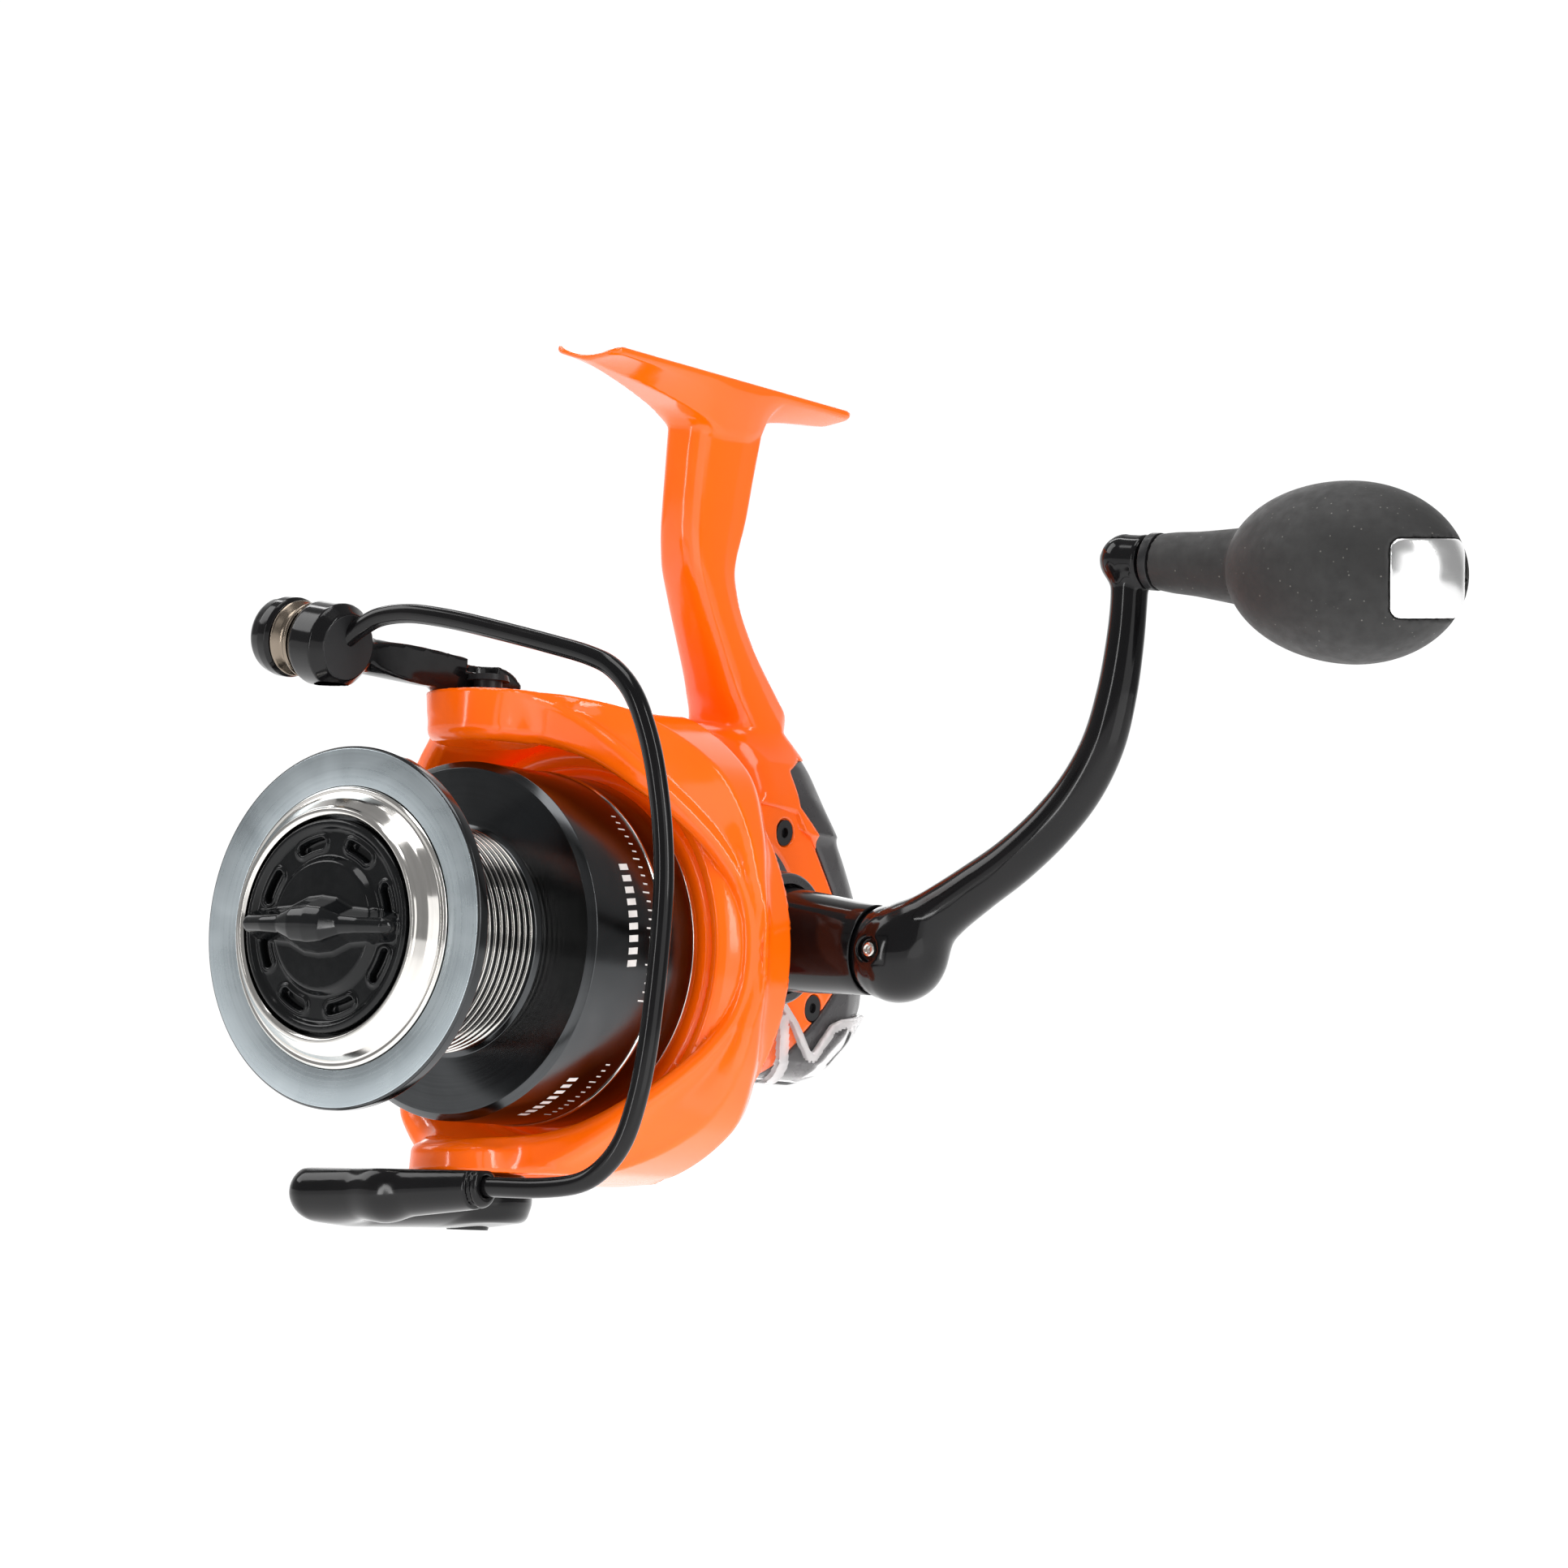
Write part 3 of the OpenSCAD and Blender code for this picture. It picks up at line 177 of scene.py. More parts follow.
def lathe(name, profile, mats, axis="y", origin=(0, 0, 0), place=reel, segments=192, sharp=32):
    """A turned solid from a closed outline of (radius, distance along the axis, corner radius)."""
    w, u, v = (np.array(a, float) for a in (AXES[axis] if isinstance(axis, str) else axes_of(axis)))
    prof = rounded(profile)
    n = len(prof)
    ang = np.arange(segments) * 2 * math.pi / segments
    ring = np.cos(ang)[:, None] * u + np.sin(ang)[:, None] * v
    pts = np.array(origin) + prof[None, :, 1, None] * w + prof[None, :, 0, None] * ring[:, None, :]
    faces = []
    for i in range(segments):
        j = (i + 1) % segments
        for k in range(n):
            m = (k + 1) % n
            if prof[k, 0] < 1e-6 and prof[m, 0] < 1e-6:
                continue
            q = [i * n + k, i * n + m, j * n + m, j * n + k]
            if prof[k, 0] < 1e-6:
                q = [i * n + k, i * n + m, j * n + m]
            elif prof[m, 0] < 1e-6:
                q = [i * n + k, i * n + m, j * n + k]
            faces.append(q)
    return add_mesh(name, place(pts.reshape(-1, 3)), faces, mats, sharp=sharp)


def sweep(name, path, radius, mats, normal, place=reel, sides=36, sharp=40):
    """A round bar along a path that lies in the plane with the given normal."""
    path = np.asarray(path, float)
    n = len(path)
    tan = np.gradient(path, axis=0)
    tan /= np.linalg.norm(tan, axis=1)[:, None]
    w = np.asarray(normal, float)
    w /= np.linalg.norm(w)
    u = np.cross(w, tan)
    u /= np.linalg.norm(u, axis=1)[:, None]
    ang = np.arange(sides) * 2 * math.pi / sides
    ring = np.cos(ang)[None, :, None] * u[:, None, :] + np.sin(ang)[None, :, None] * w
    pts = path[:, None, :] + ring * radius
    faces = []
    for i in range(n - 1):
        for k in range(sides):
            m = (k + 1) % sides
            faces.append([i * sides + k, i * sides + m, (i + 1) * sides + m, (i + 1) * sides + k])
    faces.append(list(range(sides))[::-1])
    faces.append([(n - 1) * sides + k for k in range(sides)])
    return add_mesh(name, place(pts.reshape(-1, 3)), faces, mats, sharp=sharp)


# -------- implicit solids
# Each solid is a function of an (n, 3) array of points in mm that is negative inside.
def smin(a, b, k):
    h = np.maximum(k - np.abs(a - b), 0.0) / k
    return np.minimum(a, b) - h * h * k * 0.25


def smax(a, b, k):
    return -smin(-a, -b, k)


def outline(u, v, pts):
    """Signed distance in a plane to a closed outline; a corner may hold arrays, a number for each point."""
    d = np.full(u.shape, 1e18)
    odd = np.zeros(u.shape, bool)
    for (ax, ay), (bx, by) in zip(pts, pts[1:] + pts[:1]):
        ex, ey = bx - ax, by - ay
        t = np.clip(((u - ax) * ex + (v - ay) * ey) / np.maximum(ex * ex + ey * ey, 1e-12), 0, 1)
        d = np.minimum(d, (u - ax - ex * t) ** 2 + (v - ay - ey * t) ** 2)
        over = (ay <= v) != (by <= v)
        slope = (v - ay) / np.where(np.abs(ey) < 1e-12, 1e-12, ey)
        odd ^= over & (u < ax + ex * slope)
    d = np.sqrt(d)
    return np.where(odd, -d, d)


def bar(p, a, b, ra, rb=None):
    """A round-ended bar from a to b whose radius goes from ra to rb."""
    a, b = np.asarray(a, float), np.asarray(b, float)
    rb = ra if rb is None else rb
    ab = b - a
    t = np.clip(((p - a) @ ab) / (ab @ ab), 0, 1)
    return np.linalg.norm(p - a - t[:, None] * ab, axis=1) - (ra + (rb - ra) * t)


def drum(p, c, direction, r, h0, h1, edge=0.5):
    """A cylinder about a line through c, from h0 to h1 along it, with rounded rims."""
    w = np.asarray(direction, float) / np.linalg.norm(direction)
    q = p - np.asarray(c, float)
    t = q @ w
    du = np.linalg.norm(q - t[:, None] * w, axis=1) - (r - edge)
    dv = np.abs(t - (h0 + h1) / 2) - ((h1 - h0) / 2 - edge)
    return np.minimum(np.maximum(du, dv), 0) + np.hypot(np.maximum(du, 0), np.maximum(dv, 0)) - edge


def solidify(name, f, lo, hi, step, mats, place=reel, pick=None):
    """The surface of an implicit solid inside a box, as quads of about the given size on the true surface."""
    lo, hi = np.asarray(lo, float), np.asarray(hi, float)
    n = np.ceil((hi - lo) / step).astype(int) + 1
    c = 4
    nc = n // c + 2
    rough = [lo[i] + (np.arange(nc[i]) * c + c / 2) * step for i in range(3)]
    g = np.stack(np.meshgrid(*rough, indexing="ij"), -1)
    fc = f(g.reshape(-1, 3)).reshape(nc)
    spread = lambda a: a.repeat(c, 0).repeat(c, 1).repeat(c, 2)[: n[0], : n[1], : n[2]]
    near = spread(np.abs(fc) < step * c * 2.2)
    field = np.where(spread(fc > 0), 9.0, -9.0)
    idx = np.argwhere(near)
    for s in range(0, len(idx), 300000):
        part = idx[s : s + 300000]
        field[part[:, 0], part[:, 1], part[:, 2]] = f(lo + part * step)
    inside = field < 0
    count = sum(
        inside[a : a + n[0] - 1, b : b + n[1] - 1, d : d + n[2] - 1].astype(np.int8)
        for a in (0, 1) for b in (0, 1) for d in (0, 1)
    )
    active = (count > 0) & (count < 8)
    cells = np.argwhere(active)
    index = np.full(active.shape, -1)
    index[active] = np.arange(len(cells))
    total = np.zeros((len(cells), 3))
    hits = np.zeros(len(cells))
    quads = []
    for axis in range(3):
        u, v = (axis + 1) % 3, (axis + 2) % 3
        e, eu, ev = np.eye(3, dtype=int)[axis], np.eye(3, dtype=int)[u], np.eye(3, dtype=int)[v]
        for a in (0, 1):
            for b in (0, 1):
                p0 = cells + a * eu + b * ev
                f0, f1 = field[tuple(p0.T)], field[tuple((p0 + e).T)]
                hit = (f0 < 0) != (f1 < 0)
                t = np.where(hit, f0 / np.where(hit, f0 - f1, 1), 0)
                total += np.where(hit[:, None], p0 + t[:, None] * e, 0)
                hits += hit
        low = inside[tuple(slice(0, -1) if k == axis else slice(None) for k in range(3))]
        high = inside[tuple(slice(1, None) if k == axis else slice(None) for k in range(3))]
        at = np.argwhere(low != high)
        at = at[(at[:, u] > 0) & (at[:, v] > 0) & (at[:, u] < n[u] - 1) & (at[:, v] < n[v] - 1)]
        q = np.stack([index[tuple(r.T)] for r in (at - eu - ev, at - ev, at, at - eu)], 1)
        out = low[tuple(at.T)]
        q[~out] = q[~out][:, ::-1]
        quads.append(q)
    quads = np.concatenate(quads)
    v = lo + total / np.maximum(hits, 1)[:, None] * step
    e = step * 0.15
    for _ in range(4):
        val = f(v)
        grad = np.stack([(f(v + d) - f(v - d)) / (2 * e) for d in np.eye(3) * e], 1)
        move = -val[:, None] * grad / np.maximum((grad**2).sum(1), 0.1)[:, None]
        size = np.linalg.norm(move, axis=1)
        v = v + move * np.minimum(1, 0.5 * step / np.maximum(size, 1e-9))[:, None]
    ids = None if pick is None else pick(v[quads].mean(1))
    return add_mesh(name, place(v), quads, mats, ids)


def own(ob, body, *nodes):
    """Ties a detailed piece to its body and to the CAD nodes that it stands for."""
    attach(ob, body)
    if nodes:
        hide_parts(*nodes)
    return ob


def carve(name, solid, lo, hi, step, mats, body, node, place=reel, pick=None):
    """An implicit solid, tied to its body and standing for its CAD node."""
    own(solidify(name, solid, lo, hi, step, mats, place, pick), body, node)


def turn(name, profile, mats, *owner, **how):
    """A turned solid, tied to its body and standing for its CAD nodes."""
    own(lathe(name, profile, mats, **how), *owner)


# -------- materials
def add_node(nt, kind, values=None, links=None, **settings):
    """A shader node with its settings, its constant inputs and the sockets that feed it."""
    node = nt.nodes.new("ShaderNode" + kind)
    for key, value in settings.items():
        setattr(node, key, value)
    for key, value in (values or {}).items():
        node.inputs[key].default_value = value
    for key, socket in (links or {}).items():
        nt.links.new(socket, node.inputs[key])
    return node


def shader(name, base, rough, metal=0.0, coat=0.0, ior=1.5):
    m = bpy.data.materials.new(name)
    m.use_nodes = True
    b = m.node_tree.nodes["Principled BSDF"]
    constants = {"Base Color": (*base, 1), "Roughness": rough, "Metallic": metal, "IOR": ior}
    constants.update({"Coat Weight": coat, "Coat Roughness": 0.05})
    for key, value in constants.items():
        b.inputs[key].default_value = value
    return m, m.node_tree, b


def position(nt):
    """Places on the piece, in metres in the part's frame."""
    return add_node(nt, "TexCoord").outputs["Object"]


def noise(nt, scale, detail=3.0, stretch=(1, 1, 1), distortion=0.0):
    """Noise over the piece itself; scale is in features per metre."""
    mapping = add_node(nt, "Mapping", {"Scale": stretch}, {"Vector": position(nt)})
    values = {"Scale": scale, "Detail": detail, "Distortion": distortion}
    return add_node(nt, "TexNoise", values, {"Vector": mapping.outputs["Vector"]}).outputs["Fac"]


def spread(nt, value, low, high, a=0.3, b=0.7):
    """Maps a value between a and b onto a range."""
    values = {"From Min": a, "From Max": b, "To Min": low, "To Max": high}
    return add_node(nt, "MapRange", values, {"Value": value}).outputs["Result"]


def blend(nt, value, c0, c1, a=0.3, b=0.7):
    """Two colours mixed by a value."""
    node = add_node(nt, "ValToRGB", links={"Fac": value})
    for stop, place, colour in zip(node.color_ramp.elements, (a, b), (c0, c1)):
        stop.position = place
        stop.color = (*colour, 1)
    return node.outputs["Color"]


def dress(nt, b, colour=None, rough=None, relief=None, strength=0.0, distance=0.0):
    """Feeds a surface's colour, roughness and relief."""
    if colour:
        nt.links.new(colour, b.inputs["Base Color"])
    if rough:
        nt.links.new(rough, b.inputs["Roughness"])
    if relief:
        bump = add_node(nt, "Bump", {"Strength": strength, "Distance": distance}, {"Height": relief})
        nt.links.new(bump.outputs["Normal"], b.inputs["Normal"])


def finish(name, c0, c1, r0, r1, metal=0.0, coat=0.0, scale=60, fine=900, bump=0.05, depth=2e-5):
    """A moulded, painted or turned surface: slow colour change, finer roughness change and a faint relief."""
    m, nt, b = shader(name, c0, r0, metal, coat)
    dress(nt, b, blend(nt, noise(nt, scale), c0, c1), spread(nt, noise(nt, scale * 5, 5.0), r0, r1),
          noise(nt, fine, 2.0), bump, depth)
    return m


def turning_marks(nt, pitch):
    """Concentric tool marks about the spool axis: noise read along the radius only."""
    axis = {1: (0.0, 0.0, -SEAT_Z * MM)}
    offset = add_node(nt, "VectorMath", axis, {0: position(nt)}, operation="SUBTRACT")
    flat = add_node(nt, "VectorMath", {1: (1.0, 0.0, 1.0)}, {0: offset.outputs[0]}, operation="MULTIPLY")
    radius = add_node(nt, "VectorMath", links={0: flat.outputs[0]}, operation="LENGTH")
    values, links = {"Scale": 1.0 / pitch, "Detail": 4.0}, {"W": radius.outputs["Value"]}
    return add_node(nt, "TexNoise", values, links, noise_dimensions="1D").outputs["Fac"]


def turned_metal(name, c0, c1, r0, r1, relief=0.06, mottle=70):
    """Metal turned in a lathe: a quarter tool marks and three quarters cloud."""
    m, nt, b = shader(name, c0, r0, 1.0)
    marks = turning_marks(nt, 0.00045)
    cloud = noise(nt, mottle, 5.0, (1, 1, 1), 0.6)
    cloud = add_node(nt, "Math", {1: 0.75}, {0: cloud}, operation="MULTIPLY").outputs[0]
    mix = add_node(nt, "Math", {1: 0.25}, {0: marks, 2: cloud}, operation="MULTIPLY_ADD").outputs[0]
    dress(nt, b, blend(nt, mix, c0, c1, 0.32, 0.68), spread(nt, mix, r0, r1), marks, relief, 3e-6)
    return m


def foam_material():
    """Closed-cell foam: charcoal with pale specks and fine pores."""
    m, nt, b = shader("foam_charcoal", (0.03, 0.03, 0.031), 0.7)
    slow = blend(nt, noise(nt, 90, 4.0), (0.009, 0.0087, 0.0087), (0.017, 0.0164, 0.016))
    cells = add_node(nt, "TexVoronoi", {"Scale": 650}, {"Vector": position(nt)})
    fleck = spread(nt, cells.outputs["Distance"], 0.7, 0.0, 0.03, 0.11)
    mix = add_node(nt, "Mix", data_type="RGBA")
    mix.inputs[7].default_value = (0.2, 0.19, 0.17, 1)
    nt.links.new(fleck, mix.inputs[0])
    nt.links.new(slow, mix.inputs[6])
    b.inputs["Sheen Weight"].default_value = 0.05
    dress(nt, b, mix.outputs[2], spread(nt, noise(nt, 500), 0.55, 0.72), noise(nt, 2600, 3.0), 0.25, 4e-5)
    return m


def smoke_material():
    """Clear moulded plastic."""
    m, nt, b = shader("smoke_clear", (0.95, 0.94, 0.94), 0.04, 0.0, 0.0, 1.18)
    b.inputs["Transmission Weight"].default_value = 1.0
    colour = blend(nt, noise(nt, 120, 3.0), (0.90, 0.885, 0.89), (0.97, 0.96, 0.96))
    dress(nt, b, colour, spread(nt, noise(nt, 200, 4.0), 0.02, 0.06), noise(nt, 300, 2.0), 0.08, 4e-5)
    return m


def painted_edge_light_material():
    """The thick edges of the clear guard, painted pale and less clear: a painted highlight for the light
    gathered in the thick plastic.
    """
    m, nt, b = shader("guard_edge_painted_light", (0.8, 0.77, 0.77), 0.12, 0.0, 0.3, 1.4)
    b.inputs["Transmission Weight"].default_value = 0.45
    colour = blend(nt, noise(nt, 160, 4.0), (0.70, 0.66, 0.66), (0.92, 0.90, 0.90))
    dress(nt, b, colour, spread(nt, noise(nt, 300, 4.0), 0.06, 0.22), noise(nt, 300, 2.0), 0.15, 4e-5)
    return m


ORANGE = finish("paint_orange", (0.96, 0.124, 0.001), (1.0, 0.142, 0.002),
                0.11, 0.18, 0, 0, 40, 420, 0.03, 4e-5)
GLOSS_BLACK = finish("gloss_black", (0.0035, 0.0035, 0.004), (0.006, 0.0055, 0.006),
                     0.09, 0.15, 0, 0, 60, 500, 0.03, 3e-5)
KNOB_BLACK = finish("knob_black", (0.004, 0.0045, 0.005), (0.007, 0.0075, 0.008),
                    0.08, 0.14, 0, 0, 120, 700, 0.03, 3e-5)
SATIN_BLACK = finish("satin_black", (0.012, 0.012, 0.013), (0.018, 0.018, 0.019),
                     0.30, 0.40, 0, 0, 90, 2500, 0.10, 2e-5)
HUB_GREY = finish("hub_grey", (0.040, 0.038, 0.040), (0.055, 0.052, 0.054),
                  0.24, 0.34, 0, 0.1, 70, 2000, 0.08, 2e-5)
# the lip's pale blue-grey is a painted reflection on the black anodised lip; its tool marks are real
LIP_PAINTED_REFLECTION = turned_metal("lip_metal_painted_reflection", (0.42, 0.475, 0.505), (0.56, 0.62, 0.65), 0.22, 0.34)
SPOOL_METAL = turned_metal("spool_metal", (0.050, 0.052, 0.054), (0.080, 0.083, 0.086), 0.12, 0.22)
POLISHED = turned_metal("polished_metal", (0.62, 0.60, 0.57), (0.76, 0.74, 0.71), 0.07, 0.16, 0.10, 90)
STEEL = finish("steel", (0.60, 0.58, 0.55), (0.72, 0.70, 0.67), 0.14, 0.26, 1, 0, 80, 1800, 0.08, 1e-5)
CHROME = finish("chrome", (0.90, 0.90, 0.90), (0.96, 0.96, 0.96), 0.20, 0.28, 1, 0, 60, 300, 0.04, 2e-5)
BRONZE = finish("roller_bronze", (0.20, 0.165, 0.13), (0.30, 0.25, 0.20),
                0.16, 0.28, 1, 0, 80, 1800, 0.08, 1e-5)
BRASS = finish("brass", (0.62, 0.42, 0.16), (0.74, 0.53, 0.24), 0.20, 0.34, 1, 0, 80, 1500, 0.1, 1e-5)
NYLON = finish("nylon_white", (0.72, 0.71, 0.66), (0.80, 0.79, 0.75), 0.38, 0.5, 0, 0, 80, 1500, 0.1, 2e-5)
CARBON = finish("carbon", (0.022, 0.022, 0.023), (0.045, 0.045, 0.046), 0.5, 0.7, 0, 0, 300, 3000, 0.3, 3e-5)
SEAL = finish("seal_rubber", (0.16, 0.015, 0.012), (0.22, 0.022, 0.018),
              0.5, 0.65, 0, 0, 120, 1500, 0.1, 2e-5)
PRINT = finish("print_white", (0.62, 0.60, 0.58), (0.78, 0.76, 0.74), 0.45, 0.6, 0, 0, 400, 3000, 0.1, 1e-5)
# the orange paint is given a faint glow, painted light that brightens it though it is no lamp; the blacks
# mirror less than bare plastic
painted_glow_inputs = ORANGE.node_tree.nodes["Principled BSDF"].inputs
painted_glow_inputs["Emission Color"].default_value = (1.0, 0.11, 0.0, 1)
painted_glow_inputs["Emission Strength"].default_value = 0.12
for dark in (GLOSS_BLACK, KNOB_BLACK, SATIN_BLACK):
    dark.node_tree.nodes["Principled BSDF"].inputs["Specular IOR Level"].default_value = 0.28
FOAM = foam_material()
SMOKE = smoke_material()
GUARD_EDGE_LIGHT = painted_edge_light_material()

SLOT_LOOK = {
    "orange_shell": ORANGE,
    "dark_shell": HUB_GREY,
    "smoke_shell": SMOKE,
    "black_metal": GLOSS_BLACK,
    "black_plastic": SATIN_BLACK,
    "spool_metal": SPOOL_METAL,
    "bright_metal": POLISHED,
    "steel": STEEL,
    "brass": BRASS,
    "white_plastic": NYLON,
    "grip_foam": FOAM,
    "carbon": CARBON,
    "seal_rubber": SEAL,
}

# The record's slot for each finish that the detailed pieces use
SLOT_OF = {look.name: slot for slot, look in SLOT_LOOK.items()}
SLOT_OF.update({"knob_black": "black_plastic", "lip_metal_painted_reflection": "spool_metal", "chrome": "bright_metal"})
SLOT_OF.update({"roller_bronze": "steel", "print_white": "spool_metal", "guard_edge_painted_light": "smoke_shell"})


# -------- spool
SKIRT_R = 29.0
LINE_PITCH, LINES = 1.45, 14         # bright ridges round the arbor


def build_spool():
    turn("spool_shell", [
        (28.2, 0.02, 0.25), (28.5, 0.35, 0.3), (28.5, 2.1, 0.4), (27.6, 2.75, 0.6), (24.5, 3.5, 3),
        (18.9, 4.6, 0.6), (18.0, 5.2, 0.4), (18.0, 26.0, 0.4), (18.8, 26.6, 0.5), (27.85, 26.8, 0.12),
        (29.0, 27.9, 0.25), (29.0, 43.75, 0.12), (28.8, 43.85, 0), (28.8, 44.65, 0), (29.0, 44.75, 0.12),
        (29.0, 52.35, 0.15), (28.2, 52.4, 0), (28.2, 53.9, 0.1), (26.8, 53.9, 0.3), (26.8, 31.5, 1),
        (24, 29.8, 1), (16.6, 29.8, 0.5), (16.2, 12, 1), (8.6, 11.8, 1), (8.2, 31, 0.5), (7, 35.3, 0.5),
        (3.6, 35.3, 0.3), (3.6, 9.6, 0.3), (13.1, 9.6, 0.5), (13.1, 0.6, 0.2), (17.3, 0.32, 0),
        (22.2, 0.32, 0), (22.35, 0.02, 0.08),
    ], SPOOL_METAL, "spool_body", "spool", segments=256)
    # face of the front lip, a thin sheet on the black rim: its pale blue-grey is a painted reflection of the
    # bright surroundings on the black anodised lip, with real satin tool marks
    face = [(22.25, 0.25), (22.25, -0.02, 0.1), (28.12, -0.02, 0.12), (28.12, 0.25)]
    turn("spool_lip_face", face, LIP_PAINTED_REFLECTION, "spool_body", segments=256)
    for i in range(LINES):
        y = 6.0 + i * LINE_PITCH
        ridge = [(17.9, y - 0.34), (18.28, y - 0.18, 0.16), (18.28, y + 0.18, 0.16), (17.9, y + 0.34)]
        turn(f"arbor_ridge_{i}", ridge, POLISHED, "spool_body", segments=160)
    turn("spool_cone_ring", [
        (17.3, 0.28), (22.1, 0.28, 0.1), (22.1, -0.2, 0.22), (21.75, -0.55, 0.25), (21.2, -0.5, 0.15),
        (20.95, -0.62, 0.12), (20.1, -1.95, 3.0), (18.75, -3.3, 0.12), (18.55, -3.55, 0.15),
        (18.3, -3.8, 0.2), (17.75, -3.8, 0.2), (17.3, -3.4, 0.1),
    ], POLISHED, "spool_body", "spool_ring", segments=256)
    band = [(28.85, 43.95), (29.2, 44.05, 0.12), (29.2, 44.5, 0.12), (28.85, 44.6)]
    turn("skirt_ridge", band, POLISHED, "spool_body", segments=256)
    rim = [(28.2, 52.5), (28.95, 52.5, 0.12), (29.05, 53.2, 0.3), (28.7, 54.05, 0.3), (28.2, 54.05)]
    turn("skirt_rim", rim, POLISHED, "spool_body", "spool_trim", segments=256)
    build_print()


def patch_on_skirt(name, marks):
    """Printed marks: each mark is a row of (angle, y) corners, laid on the skirt's cylinder."""
    verts, faces = [], []
    for corners in marks:
        n = len(corners)
        for r in (SKIRT_R - 0.02, SKIRT_R + 0.03):
            for a, y in corners:
                verts.append((r * math.cos(math.radians(a)), y, r * math.sin(math.radians(a))))
        k = len(verts) - 2 * n
        faces.append([k + n + i for i in range(n)])
        faces.append([k + i for i in range(n)][::-1])
        for i in range(n):
            j = (i + 1) % n
            faces.append([k + i, k + j, k + n + j, k + n + i])
    return add_mesh(name, reel(verts), faces, PRINT, sharp=30)


def bar_mark(a0, a1, y0, y1, lean=0.0):
    """A leaning bar; its long side follows the curve of the skirt."""
    n = max(1, int(abs(a1 - a0) / 1.5))
    low = [(a0 + (a1 - a0) * i / n, y0) for i in range(n + 1)]
    high = [(a1 + lean - (a1 - a0) * i / n, y1) for i in range(n + 1)]
    return low + high


def build_print():
    """Plain marks: a row of broad bars with a fine scale beside it, and a shorter pair lower down."""
    marks = []
    for i in range(9):
        marks.append(bar_mark(-1.5 + i * 3.9, 0.6 + i * 3.9, 35.9, 38.1, 0.5))
    for i in range(23):
        long_tick = i % 4 == 0
        marks.append(bar_mark(-12 + i * 2.9, -11.5 + i * 2.9, 40.4 if long_tick else 41.0, 42.0))
    for i in range(8):
        marks.append(bar_mark(-66 + i * 3.2, -64.4 + i * 3.2, 34.2, 36.2, 0.4))
    for i in range(12):
        marks.append(bar_mark(-64 + i * 2.6, -63.5 + i * 2.6, 39.6 if i % 4 == 0 else 40.2, 41.2))
    own(patch_on_skirt("skirt_scale", marks), "spool_body")


# -------- drag knob
KNOB_FACE = -3.9


def drag_knob_solid(p):
    x, y, z = p.T
    r = np.hypot(x, z)
    up = y - KNOB_FACE
    disc = outline(r, up, [
        (-1, -0.1), (9.9, -0.15), (10.9, 1.0), (15.0, 1.0), (15.75, 0.3), (16.2, 0.3), (16.5, 0.6),
        (16.5, 2.3), (15.8, 2.9), (-1, 2.9),
    ]) - 0.25
    # eight oblong sockets in the groove
    ang = np.degrees(np.arctan2(z, x))
    near = (ang - 22.5) - 45 * np.round((ang - 22.5) / 45)
    along = np.abs(np.radians(near)) * 13.1 - 2.0
    across = r - 13.1
    slot = np.hypot(np.maximum(along, 0), across) - 0.75
    rim = np.abs(np.hypot(np.maximum(along, 0), across) - 1.15) - 0.28
    disc = smin(disc, smax(rim, 0.42 - up, 0.3), 0.35)
    disc = smax(disc, -smax(slot, up - 2.1, 0.3), 0.3)
    # bar for the fingers
    t = math.radians(4.7)
    u = x * math.cos(t) + z * math.sin(t)
    w = -x * math.sin(t) + z * math.cos(t)
    half = np.interp(np.abs(u), [0, 3.0, 6.4, 10, 14.2, 15.6], [4.6, 4.3, 2.9, 2.6, 2.1, 1.0])
    high = np.interp(np.abs(u), [0, 3.2, 6.4, 10, 14.4, 15.6], [5.3, 5.1, 4.1, 3.9, 2.9, 1.6])
    side = (np.abs(w) - half + 0.42 * np.maximum(-up, 0)) * 0.9
    top = -up - high
    keel = (top + 0.5 * np.abs(w) - 0.55) * 0.9
    grip = smax(smax(side, top, 0.9), keel, 0.5)
    grip = smax(grip, np.abs(u) - 15.5, 0.8)
    grip = np.maximum(grip, up - 1.2)
    return smin(disc, grip, 0.5)


def build_drag_knob():
    carve("drag_knob_cap", drag_knob_solid, (-17.2, -9.6, -17.2), (17.2, -0.2, 17.2), 0.24, KNOB_BLACK,
          "drag", "drag_knob")


# -------- rotor
# All by the angle away from the arms' plane: 0 on an arm, 90 halfway between them.
FRONT = table([
    (0, 24.4), (5, 24.8), (10, 26.6), (13, 29.2), (15.5, 32.5), (20, 36), (27, 38.9), (34, 40.7), (41, 42.6),
    (49, 46.2), (56.5, 49.7), (63, 52.6), (73, 55.8), (82.5, 56.9), (90, 57.1),
])
FRONT_SLOPE = table([
    (0, 0.0), (5, 0.35), (10, 0.9), (13, 1.5), (15.5, 1.7), (20, 1.0), (27, 0.5), (34, 0.35), (49, 0.65),
    (60, 0.6), (73, 0.3), (90, 0.0),
])
BAND_R = table([
    (0, 42.5), (12, 42.5), (17, 41.2), (22, 40.2), (30, 39.1), (40, 38.2), (55, 37.5), (90, 37.2),
])
FLANGE_Y = table([
    (0, 25.5), (12, 29.4), (18, 34.5), (24, 42), (32, 47.5), (45, 52.5), (60, 56.2), (75, 57.2), (90, 57.3),
])
FLANGE_R = table([
    (0, 41.4), (10, 41.6), (18, 42.2), (28, 43.1), (45, 43.0), (60, 40.8), (75, 38.9), (90, 38.4),
])
FLANGE_BACK = table([(0, 62.8), (30, 62.8), (45, 62.4), (60, 61.0), (75, 59.6), (90, 59.0)])
PAD_TOP, PAD_LOW, PAD_R = 40.5, 37.0, 9.5
NOTCH_Y = 48.3


